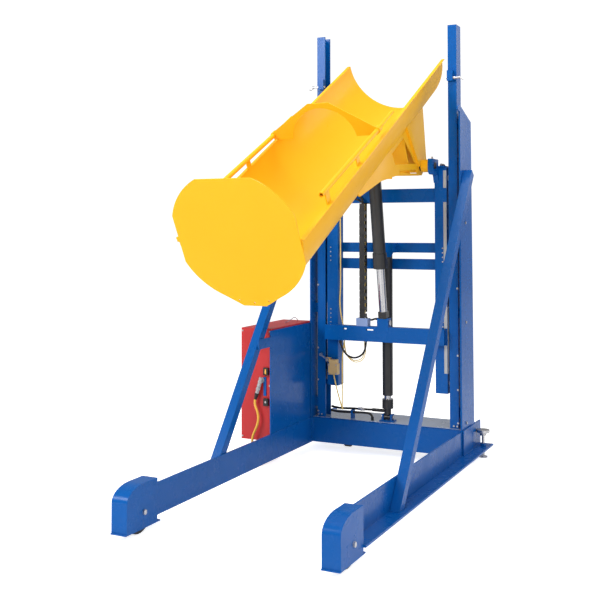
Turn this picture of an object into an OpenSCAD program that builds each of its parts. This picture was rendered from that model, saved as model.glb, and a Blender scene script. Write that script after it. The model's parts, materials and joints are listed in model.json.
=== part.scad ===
// Tipper: a wheeled frame with a two-mast lift, a tilting half-pipe chute and a hydraulic power unit.
// Built in machine coordinates (x 0 centre plane, y 0 front face of the masts, z 0 floor),
// then moved so that the origin is the middle of the base.

/* [Legs and deck] */
// Half distance between the two leg webs
leg_inner = 479; // [440:1:520]
// Height of the leg section
leg_height = 150; // [120:1:180]
// Width of the leg's bottom flange
leg_flange = 91; // [80:1:110]
// Plate thickness of legs, side plates and side panel
frame_plate = 10; // [8:0.5:12]
// Ground clearance under the legs
leg_clear = 57; // [50:1:64]
// Rear end of the legs behind the mast face
leg_rear = 354; // [330:1:400]
// Depth of the front cross member
cross_depth = 92; // [80:1:100]
// Thickness of the rear cross member
rear_bar = 15; // [10:1:20]
// Thickness of the deck plate
deck_plate_t = 6; // [5:0.5:10]

/* [Toe guards] */
// Front end of the toe guards ahead of the mast face
toe_front = 1988; // [1800:1:2200]
// Length of a toe guard
toe_length = 245; // [235:1:270]
// Height of a toe guard's top above the floor
toe_top = 232; // [220:1:260]
// Width of a toe guard over its side plates
toe_width = 85; // [80:1:95]
// Sheet thickness of the toe guards
toe_sheet = 5; // [4:0.5:6]
// Radius of the front wheels
toe_wheel_r = 101.6; // [90:0.1:105]
// Width of the front wheels
toe_wheel_w = 40; // [30:1:48]

/* [Masts and side plates] */
// Length of a mast
mast_length = 2391; // [2300:1:2600]
// Depth of a mast channel front to back
mast_size = 86; // [80:1:95]
// Width of a mast channel side to side
mast_width = 54; // [48:1:58]
// Flange and web thickness of a mast
mast_wall = 10; // [8:0.5:11]
// Gap between a mast and its side plate
spacer_gap = 23; // [18:1:30]
// Height of the side plates' front edge above the deck level
plate_front_h = 1909; // [1700:1:2100]
// Height of the side plates' rear edge above the deck level
plate_rear_h = 1828; // [1650:1:1900]
// Side length of the square strut tube
strut_size = 51; // [44:1:60]
// Wall thickness of the strut tube
strut_wall = 4; // [3:0.5:6]
// Slope of the struts from the floor in degrees
strut_slope = 52.65; // [48:0.05:56]
// Height of the struts' top ends above the floor
strut_top = 1735; // [1500:1:1800]

/* [Carriage] */
// Running gap between a mast and the carriage
carriage_gap = 12; // [10:0.5:16]
// Width of a carriage upright
upright_width = 75; // [60:1:85]
// Wall thickness of the carriage tubes
upright_wall = 6; // [4:0.5:8]
// Bottom end of the uprights above the floor
upright_bottom = 410; // [380:1:420]
// Height of the tilt axis above the floor
pivot_z = 1760; // [1745:1:1775]
// Distance of the tilt axis ahead of the mast face
pivot_ahead = 72; // [65:1:80]
// Radius of the carriage rollers
roller_r = 31.5; // [28:0.5:31.5]
// Width of the carriage rollers
roller_w = 30; // [20:1:31]

/* [Chute] */
// Inner radius of the half pipe
chute_r = 305; // [280:1:310]
// Sheet thickness of the half pipe
chute_sheet = 4; // [3:0.5:5]
// Length of the half pipe
chute_length = 2285; // [2100:1:2400]
// Slope of the chute at rest in degrees
chute_tilt = 28.5; // [20:0.5:30]
// Place of the tilt axis along the chute
pivot_s = 1735; // [1725:1:1740]
// Depth of the tilt axis below the chute's rims
pivot_depth = 471; // [465:1:480]
// Thickness of the bottom plate
bottom_t = 6; // [5:0.5:8]
// Diameter of the guard rail tubes
rail_d = 25; // [22:0.5:28]
// Radius of the retainer's sliding rods
rod_r = 9; // [8:0.5:10]
// Upper end of the guard rail tubes along the chute
rail_end = 1065; // [1000:1:1080]
// Half distance between the gusset plates under the chute
gusset_x = 250; // [235:1:255]
// Thickness of the gusset plates
gusset_t = 6; // [5:0.5:8]

/* [Cylinders] */
// Outer diameter of the lift cylinder
lift_d = 64; // [56:1:66]
// Diameter of the lift cylinder's rod
lift_rod_d = 45; // [38:1:46]
// Outer diameter of the dump cylinder
dump_d = 76; // [66:1:80]
// Diameter of the dump cylinder's rod
dump_rod_d = 50; // [40:1:52]
// Diameter of the cylinder and clevis pins
pin_d = 25; // [20:1:26]

/* [Power unit] */
// Width of the power box
box_width = 196; // [180:1:220]
// Length of the power box front to back
box_length = 542; // [500:1:560]
// Height of the power box
box_height = 647; // [600:1:680]
// Sheet thickness of the power box
box_sheet = 3; // [2:0.5:4]

/* [Rear wheels and locks] */
// Radius of the rear caster wheels
caster_r = 50; // [44:1:52]
// Width of the rear caster wheels
caster_w = 40; // [30:1:44]
// Trail of the rear casters
caster_trail = 25; // [20:1:30]
// Diameter of the floor lock's cap
lock_cap_d = 79; // [60:1:79]
// Diameter of the floor lock's screw
lock_screw_d = 18; // [14:1:20]

/* [Hidden] */
$fn = 64;
run = 0.05;
seat = 0.1;
gap = 0.3;
leg_top = leg_clear + leg_height;
leg_outer = leg_inner + leg_flange;
web_outer = leg_inner + frame_plate;
flange_top = leg_clear + frame_plate;
deck_top = leg_top + deck_plate_t;
mast_top = deck_top + mast_length;
mast_out = leg_inner - spacer_gap;
mast_in = mast_out - mast_width;
mast_mid = mast_size / 2;
upright_out = mast_in - carriage_gap;
upright_in = upright_out - upright_width;
upright_top = pivot_z - 6;
cross_front = -26;
cross_rear = cross_front + cross_depth;
plate_foot_y = 216;
plate_head_y = 185;
deck_rear = 250;
panel_step = 3;
panel_front = -588;
panel_rear = -57;
panel_top = leg_top + 593;
lock_y = 262;
lock_x = leg_outer - lock_cap_d / 2 - 0.5;
toe_rear = -toe_front + toe_length;
toe_face = -toe_front + 7;
toe_bottom = 33;
toe_inner = leg_inner - toe_sheet;
toe_outer = toe_inner + toe_width;
toe_mid = (toe_inner + toe_outer) / 2;
toe_axle_y = toe_face + 131;
axle_r = 10;
strut_run = tan(strut_slope);
strut_side = strut_size / sin(strut_slope);
strut_foot_y = -1249.6;
brace_bottom = 708;
brace_height = 56;
box_bottom = 163;
box_front = -571;
box_rear = box_front + box_length;
box_in = web_outer;
box_out = box_in + box_width;
box_top = box_bottom + box_height;
box_mid_z = 490;
latch_x = -box_in - 29;
latch_low = box_mid_z - 103;
latch_high = box_mid_z + 73;
latch_pivot_r = 6;
pivot_y = -pivot_ahead;
bearing_in = upright_in - 4;
bearing_t = 30;
hub_end = bearing_in - 2;
shaft_r = 20;
stud_r = 12;
roller_mid = (mast_in + 3 + mast_in + 3 + roller_w) / 2;
roller_low = upright_bottom + 60;
roller_high = pivot_z - 70;
front_bar_z = 700;
front_bar_h = 92;
front_bar_d = 50;
front_bar_top = front_bar_z + front_bar_h;
clevis_y = -front_bar_d / 2;
clevis_z = front_bar_top + pin_d;
clevis_in = 26;
hose_lug_z = clevis_z + 19;
eye_r = pin_d / 2 + 9.5;
top_bar_z = 1547;
top_bar_h = 82;
top_bar_d = 76;
rear_face = 68;
lift_y = rear_face - 2 - lift_d / 2;
lift_low = 385;
lift_high = 1262;
lift_in = lift_d / 2 - 6;
lift_pin_z = deck_top + 24;
track_x = -136;
track_w = 32;
track_front = -43;
track_d = 46;
track_bottom = front_bar_top;
track_top = top_bar_z - 5;
track_pitch = 42;
chute_out = chute_r + chute_sheet;
lip_w = 16;
rail_x = chute_r - 5;
rail_n = 44;
rail_low_s = 291;
rail_low_n = 65;
rail_run = norm([rail_end - rail_low_s, rail_low_n - rail_n]);
rail_dip = -atan2(rail_low_n - rail_n, rail_end - rail_low_s);
ring_s = rail_end + 1;
retainer_t = 5;
cheek_in = 46;
cheek_t = 10;
top_pin_s = pivot_s - 105;
top_pin_n = -pivot_depth + 37;
top_pin_y = pivot_y + (top_pin_s - pivot_s) * cos(chute_tilt) - (top_pin_n + pivot_depth) * sin(chute_tilt);
top_pin_z = pivot_z + (top_pin_s - pivot_s) * sin(chute_tilt) + (top_pin_n + pivot_depth) * cos(chute_tilt);
dump_lean = atan2(clevis_y - top_pin_y, top_pin_z - clevis_z);
dump_len = norm([top_pin_y - clevis_y, top_pin_z - clevis_z]);
gland_t = dump_len - 546;
barrel_t = gland_t + 37;
barrel_end = dump_len - 31;
dump_in = dump_d / 2 - 7;
gland_r = dump_d / 2 + 5;
gland_h = 92;
caster_x = 320;
caster_y = 150;
caster_plate_z = 2 * caster_r + 18;
caster_axle_r = 6;
stop_z = leg_top + plate_front_h + 151;
stop_h = 62;
stop_pin_z = stop_z + 16;
stop_pin_r = 6;
stop_mid_y = -12.5;
switch_x = -337;
switch_z = 483;
lever_x = -377;
lever_z = 572;
lever_face = 25;
place_x = (box_out - leg_outer) / 2;
place_y = (toe_front - leg_rear) / 2;
grip_x = -545;
grip_z = 520;
grip_lean = 17;
cord_r = 7;
coil_r = 78;
coil_x = -668;
coil_y = -505;
coil_turns = 4;
coil_step = 24;
coil_pitch = 2 * cord_r + 0.6;
coil_low = cord_r + 0.2;
coil_high = coil_low + coil_turns * coil_pitch;
bend_r = 62;
cord_drop = [[-579.1, -592, 408.3], [-583, -592.5, 393], [-583, -593, 376], [-577, -594, 357],
  [-568, -595, 338], [-561, -596.5, 318], [-558.5, -598, 298], [-560, -599, 276], [-566, -600, 252],
  [-576, -601, 228], [-587, -601.5, 205], [-594, -602, 182], [-596, -602, 160], [-595, -602, 140]];
cord_bend = [for (a = [0:15:90]) [coil_x + coil_r - 2 * (1 - a / 90),
  -602 + bend_r * (1 - cos(a)), coil_high + bend_r * (1 - sin(a))]];
cord_coil = [for (i = [0:coil_turns * coil_step]) let (a = 360 * i / coil_step)
  [coil_x + coil_r * cos(a), coil_y + coil_r * sin(a), coil_high - coil_pitch * a / 360]];
cord_tail = [[-590, -480, 7.5], [-591, -450, 8.5], [-594, -420, 12], [-598, -396, 16.5], [-600, -380, 18]];
cord_line = concat(cord_drop, cord_bend, cord_coil, cord_tail);
cord_gap = min([for (i = [0:len(cord_line) - 1]) for (j = [i + 8:1:len(cord_line) - 1])
  norm(cord_line[i] - cord_line[j])]) - 2 * cord_r;
cord_length = path_length(cord_line);
wire_route = [[-566, -238, box_top + 2.4], [-564, -200, box_top + 7], [-560, -163, box_top + 18],
  [-559, -124, box_top + 25], [-559, -92, box_top + 16], [-560, -72, box_top + 2.6]];
base_hose_a = [[-388, 66, 268], [-330, 60, 262], [-230, 40, 270], [-150, 34, 272], [-100, 34, 274]];
base_hose_b = [[-388, 52, 246], [-330, 46, 242], [-230, 22, 250], [-150, 20, 254], [-112, 20, 250],
  [-96, 20, 232]];
carriage_hose_a = [[-306, -14, 1598], [-230, -14, 1598], [-176, -16, 1595], [-146, -23, 1570],
  [-136, -30, 1530], [-136, -30, 1200], [-136, -30, 890], [-136, -18, 846], [-134, 4, 824],
  [-133, 17, 796], [-133, 18, 750], [-138, 16, 660], [-160, 16, 612], [-208, 16, 588], [-256, 12, 600],
  [-284, 0, 640], [-290, -20, 682]];
carriage_hose_b = [[-306, -14, 1578], [-240, -14, 1578], [-190, -14.5, 1573], [-152, -14, 1552],
  [-136, -13, 1520], [-136, -13, 1200], [-136, -13, 910], [-134, -6, 862], [-124, 12, 834],
  [-100, 14, 826], [-78, 4, 832], [-64, -8, hose_lug_z], [-58, -8, hose_lug_z]];
cable_route = [[-306, -9, 1558], [-304, -9, 1540], [-303, 2, 1510], [-303, 12, 1373], [-303, 12, 1050],
  [-308, 12, 945], [-303, 12, 868], [-288, 12, 797], [-276, 12, 720], [-284, 15, 655], [-291, 15, 600],
  [-291, 8, 540], [-290, 4, 420], [-286, -6, 292], [-280, -10, 272], [-288, -14, 290], [-318, -20, 400],
  [-334, -20, 466], [-337, -20, 482]];

module place() {
  translate([place_x, place_y, 0]) children();
}

module slab(side, x0, x1, y0, y1, z0, z1) {
  translate([side > 0 ? x0 : -x1, y0, z0]) cube([x1 - x0, y1 - y0, z1 - z0]);
}

module yz_plate(side, x0, x1, pts) {
  translate([side > 0 ? x0 : -x1, 0, 0]) rotate([90, 0, 90]) linear_extrude(x1 - x0) polygon(pts);
}

module x_cyl(side, r, x0, x1, y, z) {
  translate([side > 0 ? x0 : -x1, y, z]) rotate([0, 90, 0]) cylinder(r = r, h = x1 - x0);
}

module x_hex(side, r, x0, x1, y, z) {
  translate([side > 0 ? x0 : -x1, y, z]) rotate([0, 90, 0]) cylinder(r = r, h = x1 - x0, $fn = 6);
}

module chute_frame() {
  translate([0, pivot_y, pivot_z]) rotate([chute_tilt, 0, 0]) translate([0, -pivot_s, pivot_depth])
    children();
}

module dump_frame() {
  translate([0, clevis_y, clevis_z]) rotate([dump_lean, 0, 0]) children();
}

function arc_pts(cy, cz, ry, rz, a0, a1, n) =
  [for (i = [0:n]) let (a = a0 + (a1 - a0) * i / n) [cy + ry * cos(a), cz + rz * sin(a)]];

function curve_at(a, b, c, d, t) =
  0.5 * (2 * b + (c - a) * t + (2 * a - 5 * b + 4 * c - d) * t * t + (3 * b - a - 3 * c + d) * t * t * t);

function route_pts(r, m) = concat([for (i = [0:len(r) - 2]) for (j = [0:m - 1])
  curve_at(r[max(i - 1, 0)], r[i], r[i + 1], r[min(i + 2, len(r) - 1)], j / m)], [r[len(r) - 1]]);

function unit(v) = v / norm(v);

function path_length(c, i = 1) = i < len(c) ? norm(c[i] - c[i - 1]) + path_length(c, i + 1) : 0;

function ring_pts(p, t, ref, radius, sides) = let (u = unit(cross(t, ref)), v = cross(t, u))
  [for (k = [0:sides - 1]) p + radius * (cos(360 * k / sides) * u + sin(360 * k / sides) * v)];

function tangents(c) = let (n = len(c))
  [for (i = [0:n - 1]) unit(c[min(i + 1, n - 1)] - c[max(i - 1, 0)])];

function carried(t) = [for (i = 0, r = unit(cross(t[0], [0.1, 1, 0.05])); i < len(t);
  i = i + 1, r = i < len(t) ? unit(r - t[i] * (r * t[i])) : r) r];

module sweep(c, radius, sides) {
  n = len(c);
  t = tangents(c);
  up = carried(t);
  pts = [for (i = [0:n - 1]) each ring_pts(c[i], t[i], up[i], radius, sides)];
  side_a = [for (i = [0:n - 2]) for (k = [0:sides - 1])
    [i * sides + (k + 1) % sides, i * sides + k, (i + 1) * sides + k]];
  side_b = [for (i = [0:n - 2]) for (k = [0:sides - 1])
    [(i + 1) * sides + (k + 1) % sides, i * sides + (k + 1) % sides, (i + 1) * sides + k]];
  caps = [[for (k = [0:sides - 1]) k], [for (k = [sides - 1:-1:0]) (n - 1) * sides + k]];
  polyhedron(points = pts, faces = concat(side_a, side_b, caps), convexity = 6);
}

module hose(route, radius, m = 4, sides = 10) {
  sweep(route_pts(route, m), radius, sides);
}

module leg(side) {
  color([0.05, 0.16, 0.55]) place() difference() {
    union() {
      slab(side, leg_inner, web_outer, toe_rear - 47, leg_rear, leg_clear, leg_top);
      slab(side, leg_inner, leg_outer, toe_rear, leg_rear, leg_clear, flange_top);
      translate([side * lock_x, lock_y, flange_top - 1]) cylinder(r = lock_screw_d, h = 19, $fn = 6);
    }
    translate([side * lock_x, lock_y, leg_clear - 1])
      cylinder(r = lock_screw_d / 2 + run, h = frame_plate + 22);
  }
}

module left_leg() {
  leg(-1);
}

module right_leg() {
  leg(1);
}

function toe_shape(t) = concat([[toe_rear + t, toe_bottom], [toe_face + t, toe_bottom]],
  arc_pts(toe_face + 131, toe_top - 65, 131 - t, 65 - t, 180, 90, 10), [[toe_rear + t, toe_top - t]]);

module toe_guard(side) {
  difference() {
    union() {
      yz_plate(side, toe_inner, toe_outer, toe_shape(0));
      slab(side, toe_inner, toe_outer, -toe_front, toe_rear + 25, toe_bottom - toe_sheet - 1, toe_bottom);
    }
    yz_plate(side, toe_inner + toe_sheet, toe_outer - toe_sheet, concat([[toe_rear + 1, toe_bottom],
      [toe_face + toe_sheet, toe_bottom]],
      arc_pts(toe_face + 131, toe_top - 65, 131 - toe_sheet, 65 - toe_sheet, 180, 90, 10),
      [[toe_rear + 1, toe_top - toe_sheet]]));
    slab(side, toe_mid - toe_wheel_w / 2 - 6, toe_mid + toe_wheel_w / 2 + 6, toe_axle_y - 86,
      toe_axle_y + 86, toe_bottom - 10, toe_bottom + 1);
    x_cyl(side, axle_r + run, toe_inner - 1, toe_outer + 1, toe_axle_y, toe_wheel_r);
  }
}

module toe_guards() {
  color([0.05, 0.16, 0.55]) place() {
    toe_guard(-1);
    toe_guard(1);
  }
}

module toe_wheel(side) {
  color([0.05, 0.05, 0.06]) place() difference() {
    union() {
      x_cyl(side, toe_wheel_r, toe_mid - toe_wheel_w / 2 + 3, toe_mid + toe_wheel_w / 2 - 3, toe_axle_y,
        toe_wheel_r);
      x_cyl(side, toe_wheel_r - 3, toe_mid - toe_wheel_w / 2, toe_mid + toe_wheel_w / 2, toe_axle_y,
        toe_wheel_r);
      x_cyl(side, 24, toe_mid - toe_wheel_w / 2 - 4, toe_mid + toe_wheel_w / 2 + 4, toe_axle_y,
        toe_wheel_r);
    }
    x_cyl(side, axle_r + run, toe_mid - toe_wheel_w, toe_mid + toe_wheel_w, toe_axle_y, toe_wheel_r);
  }
}

module left_toe_wheel() {
  toe_wheel(-1);
}

module right_toe_wheel() {
  toe_wheel(1);
}

module toe_axles() {
  color([0.6, 0.6, 0.62]) place() for (side = [-1, 1]) {
    x_cyl(side, axle_r, toe_inner - 1, toe_outer + 1, toe_axle_y, toe_wheel_r);
    for (head = [[toe_inner - 9, toe_inner], [toe_outer, toe_outer + 9]]) {
      x_hex(side, 13, head[0], head[1], toe_axle_y, toe_wheel_r);
    }
  }
}

module front_cross_member() {
  color([0.05, 0.16, 0.55]) place() difference() {
    slab(1, -leg_inner, leg_inner, cross_front, cross_rear, leg_clear, leg_top);
    slab(1, -leg_inner - 1, leg_inner + 1, cross_front + frame_plate, cross_rear + 1, flange_top,
      leg_top - frame_plate);
  }
}

module rear_cross_member() {
  color([0.05, 0.16, 0.55]) place()
    slab(1, -leg_inner, leg_inner, deck_rear - rear_bar, deck_rear, leg_clear, leg_top);
}

module deck_plate() {
  color([0.05, 0.16, 0.55]) place() {
    slab(1, -leg_inner, leg_inner, cross_front + 6, deck_rear, leg_top, deck_top);
    for (side = [-1, 1]) {
      difference() {
        slab(side, caster_x - 45, caster_x + 45, caster_y - 45, caster_y + 45, caster_plate_z + 8, leg_top);
        slab(side, caster_x - 39, caster_x + 39, caster_y - 46, caster_y + 46, caster_plate_z + 14,
          leg_top - 6);
      }
      translate([side * caster_x, caster_y, caster_plate_z]) cylinder(r = 36, h = 8);
    }
  }
}

module mast(side) {
  color([0.05, 0.16, 0.55]) place() difference() {
    union() {
      slab(side, mast_in, mast_out, 0, mast_size, deck_top, mast_top);
      slab(side, mast_in + 1, mast_in + 36, -25, 0, stop_z, stop_z + stop_h);
    }
    slab(side, mast_in - 1, mast_out - mast_wall, mast_wall, mast_size - mast_wall, deck_top - 1,
      mast_top + 1);
    x_cyl(side, stop_pin_r + run, mast_in - 1, mast_in + 37, stop_mid_y, stop_pin_z);
  }
}

module left_mast() {
  mast(-1);
}

module right_mast() {
  mast(1);
}

module side_plates() {
  color([0.05, 0.16, 0.55]) place() for (side = [-1, 1]) {
    yz_plate(side, leg_inner, web_outer, [[-45, leg_top], [plate_foot_y, leg_top],
      [plate_head_y, leg_top + plate_rear_h], [-45, leg_top + plate_front_h],
      [-88, leg_top + plate_front_h - 12],
      [-90, leg_top + plate_front_h - 32], [-45, leg_top + plate_front_h - 42]]);
    for (z = [270, 860, 1450, 1980])
      slab(side, mast_out, leg_inner, mast_mid - 25, mast_mid + 25, z, z + 60);
  }
}

module strut(side) {
  top_y = strut_foot_y + (strut_top - flange_top) / strut_run;
  end_y = top_y + strut_size * sin(strut_slope);
  end_z = strut_top - strut_size * cos(strut_slope);
  cap_y = strut_wall * cos(strut_slope);
  cap_z = strut_wall * sin(strut_slope);
  wall_y = strut_wall / sin(strut_slope);
  color([0.05, 0.16, 0.55]) place() difference() {
    yz_plate(side, web_outer, web_outer + strut_size, [[strut_foot_y, flange_top],
      [strut_foot_y + strut_side, flange_top], [end_y, end_z], [top_y, strut_top]]);
    yz_plate(side, web_outer + strut_wall, web_outer + strut_size - strut_wall,
      [[strut_foot_y + wall_y - 10 / strut_run, flange_top - 10],
      [strut_foot_y + strut_side - wall_y - 10 / strut_run, flange_top - 10],
      [end_y - cap_y - strut_wall * sin(strut_slope), end_z - cap_z + strut_wall * cos(strut_slope)],
      [top_y - cap_y + strut_wall * sin(strut_slope), strut_top - cap_z - strut_wall * cos(strut_slope)]]);
  }
}

module left_strut() {
  strut(-1);
}

module right_strut() {
  strut(1);
}

module side_panel() {
  brace_y = strut_foot_y + (brace_bottom + 28 - flange_top) / strut_run;
  color([0.05, 0.16, 0.55]) place() {
    slab(-1, leg_inner + panel_step, web_outer, panel_front, panel_rear, leg_top, panel_top);
    slab(-1, leg_inner, web_outer, brace_y, panel_front, brace_bottom, brace_bottom + brace_height);
  }
}

module power_box() {
  color([0.75, 0.1, 0.1]) place() difference() {
    slab(-1, box_in, box_out, box_front + 4, box_rear, box_bottom, box_top);
    slab(-1, box_in + box_sheet, box_out - box_sheet, box_front + 3, box_rear - box_sheet,
      box_bottom + box_sheet, box_top - box_sheet);
  }
}

module box_cover() {
  color([0.75, 0.1, 0.1]) place() difference() {
    union() {
      slab(-1, box_in, box_out, box_front, box_front + 4, box_bottom, box_top);
      slab(-1, box_in + box_sheet + 0.5, box_out - box_sheet - 0.5, box_front + 4, box_front + 16,
        box_bottom + box_sheet + 0.5, box_bottom + box_sheet + 10);
    }
    for (z = [latch_low, latch_high]) translate([latch_x, box_front - 1, z])
      rotate([-90, 0, 0]) cylinder(r = latch_pivot_r + run, h = 6);
  }
}

module latch(z) {
  color([0.06, 0.06, 0.06]) place() {
    translate([latch_x, box_front - 12, z]) rotate([-90, 0, 0]) cylinder(r = latch_pivot_r, h = 22);
    translate([latch_x - 15, box_front - 16, z - 22]) cube([30, 16 - gap, 44]);
  }
}

module upper_latch() {
  latch(latch_high);
}

module lower_latch() {
  latch(latch_low);
}

module pump_unit() {
  mid_x = -(box_in + box_out) / 2;
  color([0.2, 0.2, 0.22]) place() {
    slab(-1, box_in + 20, box_out - 20, box_rear - 240, box_rear - 30, box_bottom + box_sheet,
      box_bottom + 260);
    translate([mid_x, box_rear - 135, box_bottom + 260]) cylinder(r = 55, h = 40);
    translate([mid_x, box_rear - 135, box_bottom + 300]) cylinder(r = 70, h = 190);
    translate([mid_x - 40, box_rear - 340, box_bottom + box_sheet]) cube([80, 100, 150]);
    translate([mid_x, box_rear - 300, box_bottom + 153]) cylinder(r = 18, h = 60);
  }
}

module cord_grip() {
  color([0.55, 0.55, 0.57]) place() {
    translate([grip_x, box_front - 14, grip_z - 8]) rotate([-90, 0, 0]) cylinder(r = 16, h = 14);
    translate([grip_x, box_front - 21, grip_z]) rotate([0, grip_lean, 0]) {
      translate([0, 0, -90]) cylinder(r = 13, h = 96);
      translate([0, 0, -116]) cylinder(r = 10, h = 26);
    }
  }
}

module power_cord() {
  echo(cord_gap = cord_gap, cord_length = cord_length);
  color([0.95, 0.75, 0.1]) place() {
    sweep(cord_line, cord_r, 6);
    translate([-600, -380.5, 18]) rotate([-90, 0, 0]) cylinder(r = 17, h = 55);
  }
}

module lid_wire() {
  color([0.5, 0.5, 0.5]) place() hose(wire_route, 2, m = 5, sides = 8);
}

module caster_fork(side) {
  color([0.6, 0.6, 0.62]) place() {
    translate([side * caster_x, caster_y, caster_plate_z - 8 - gap]) cylinder(r = 34, h = 8);
    difference() {
      for (d = [-1, 1]) translate([side * caster_x, 0, 0]) yz_plate(d, caster_w / 2 + 2, caster_w / 2 + 6,
        [[caster_y - 26, caster_plate_z - 8 - gap], [caster_y + 26, caster_plate_z - 8 - gap],
        [caster_y + caster_trail + 13, caster_r + 4], [caster_y + caster_trail + 9, caster_r - 12],
        [caster_y + caster_trail - 9, caster_r - 12], [caster_y + caster_trail - 14, caster_r + 4]]);
      translate([side * caster_x, 0, 0]) x_cyl(1, caster_axle_r, -caster_w, caster_w,
        caster_y + caster_trail, caster_r);
    }
    translate([side * caster_x, 0, 0]) {
      x_cyl(1, caster_axle_r, -caster_w / 2 - 6, caster_w / 2 + 6, caster_y + caster_trail, caster_r);
      for (d = [-1, 1]) x_hex(d, 10, caster_w / 2 + 6, caster_w / 2 + 11, caster_y + caster_trail, caster_r);
    }
  }
}

module left_caster_fork() {
  caster_fork(-1);
}

module right_caster_fork() {
  caster_fork(1);
}

module caster_wheel(side) {
  color([0.05, 0.05, 0.06]) place() translate([side * caster_x, 0, 0]) difference() {
    union() {
      x_cyl(1, caster_r, -caster_w / 2 + 3, caster_w / 2 - 3, caster_y + caster_trail, caster_r);
      x_cyl(1, caster_r - 3, -caster_w / 2, caster_w / 2, caster_y + caster_trail, caster_r);
      x_cyl(1, 14, -caster_w / 2 - 1, caster_w / 2 + 1, caster_y + caster_trail, caster_r);
    }
    x_cyl(1, caster_axle_r + run, -caster_w, caster_w, caster_y + caster_trail, caster_r);
  }
}

module left_caster_wheel() {
  caster_wheel(-1);
}

module right_caster_wheel() {
  caster_wheel(1);
}

module floor_lock(side) {
  color([0.3, 0.3, 0.32]) place() translate([side * lock_x, lock_y, 0]) {
    cylinder(r = 25, h = 8);
    translate([0, 0, 8]) cylinder(r = lock_screw_d / 2, h = leg_top - 65);
    translate([0, 0, leg_top - 57]) cylinder(r = lock_cap_d / 2, h = 17);
    translate([0, 0, leg_top - 75]) cylinder(r = 20, h = 18);
  }
}

module left_floor_lock() {
  floor_lock(-1);
}

module right_floor_lock() {
  floor_lock(1);
}

module stop_pin(side) {
  color([0.6, 0.6, 0.62]) place() {
    x_cyl(side, stop_pin_r, mast_in - 6, mast_in + 72, stop_mid_y, stop_pin_z);
    x_cyl(side, 9, mast_in + 36 + gap, mast_in + 50, stop_mid_y, stop_pin_z);
    x_cyl(side, 9, mast_in + 72, mast_in + 80, stop_mid_y, stop_pin_z);
  }
}

module left_stop_pin() {
  stop_pin(-1);
}

module right_stop_pin() {
  stop_pin(1);
}

module lift_foot() {
  color([0.05, 0.16, 0.55]) place() {
    slab(1, -45, 45, lift_y - 30, lift_y + 30, deck_top, deck_top + 8);
    for (side = [-1, 1]) difference() {
      slab(side, 22, 32, lift_y - 22, lift_y + 22, deck_top + 8, deck_top + 44);
      x_cyl(side, 10 + run, 21, 33, lift_y, lift_pin_z);
    }
  }
}

module lift_rod() {
  color([0.8, 0.8, 0.82]) place() {
    difference() {
      x_cyl(1, 15, -21.5, 21.5, lift_y, lift_pin_z);
      x_cyl(1, 10 + run, -22, 22, lift_y, lift_pin_z);
    }
    translate([0, lift_y, lift_pin_z + 13]) cylinder(r = lift_rod_d / 2 - 2, h = 291 - lift_pin_z - 13);
    translate([0, lift_y, 291]) cylinder(r = lift_rod_d / 2 + 12, h = 58);
    translate([0, lift_y, 349]) cylinder(r = lift_rod_d / 2, h = 551);
    translate([0, lift_y, 900]) cylinder(r = lift_in - gap, h = 40);
  }
}

module base_hoses() {
  color([0.05, 0.05, 0.05]) place() {
    hose(base_hose_a, 7, m = 6);
    hose(base_hose_b, 7, m = 6);
    translate([-236, 10, deck_top]) cube([12, 42, 52]);
    translate([-100, 34, 274]) rotate([0, 90, 0]) cylinder(r = 10, h = 78);
    translate([-96, 20, deck_top]) cylinder(r = 9, h = 20);
  }
}

module upright(side) {
  color([0.05, 0.16, 0.55]) place() difference() {
    slab(side, upright_in, upright_out, 0, mast_size, upright_bottom, upright_top);
    slab(side, upright_in + upright_wall, upright_out - upright_wall, upright_wall,
      mast_size - upright_wall, upright_bottom - 1, upright_top - upright_wall);
  }
}

module left_upright() {
  upright(-1);
}

module right_upright() {
  upright(1);
}

module carriage_crossbars() {
  color([0.05, 0.16, 0.55]) place() {
    difference() {
      slab(1, -upright_in, upright_in, 0, top_bar_d, top_bar_z, top_bar_z + top_bar_h);
      slab(1, -upright_in - 1, upright_in + 1, upright_wall, top_bar_d - upright_wall,
        top_bar_z + upright_wall, top_bar_z + top_bar_h - upright_wall);
    }
    slab(1, -upright_in, upright_in, rear_face, mast_size, 1241, 1301);
    slab(1, -upright_in, upright_in, rear_face, mast_size, 1138, 1203);
    difference() {
      slab(1, -45, 45, lift_y - lift_d / 2 - 6, rear_face, lift_high, 1301);
      slab(1, -30, 30, lift_y - lift_d / 2 - 7, lift_y + 20, lift_high + 10, 1302);
    }
    difference() {
      slab(1, -upright_out + 5, upright_out - 5, -front_bar_d, 0, front_bar_z, front_bar_top);
      slab(1, -upright_out + 9, upright_out - 9, 4 - front_bar_d, -4, front_bar_z + 4, front_bar_top - 4);
      for (slot = [[-249, 24], [-84, 46]]) {
        translate([slot[0] - slot[1] / 2, -front_bar_d - 1, front_bar_top - 24]) cube([slot[1], 6, 8]);
        translate([slot[0] - slot[1] / 2 - 26, -5, front_bar_top - 36]) cube([slot[1] + 12, 6, 20]);
      }
    }
    translate([-clevis_in - 10, -front_bar_d - 2, front_bar_top - 30])
      cube([2 * clevis_in + 20, 4 - run, 80]);
    for (side = [-1, 1]) slab(side, lift_d / 2 + 4, 52, lift_y - lift_d / 2 - gap - 2, rear_face, 1241, 1301);
    translate([0, lift_y - lift_d / 2 - gap, 0]) rotate([90, 0, 0]) linear_extrude(6)
      polygon([[-52, 1301], [-52, 1240], [-36, 1214], [36, 1214], [52, 1240], [52, 1301]]);
    for (side = [-1, 1]) difference() {
      slab(side, clevis_in, clevis_in + 10, -front_bar_d, 0, front_bar_top, front_bar_top + 53);
      x_cyl(side, pin_d / 2 + run, clevis_in - 1, clevis_in + 11, clevis_y, clevis_z);
    }
  }
}

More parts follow.
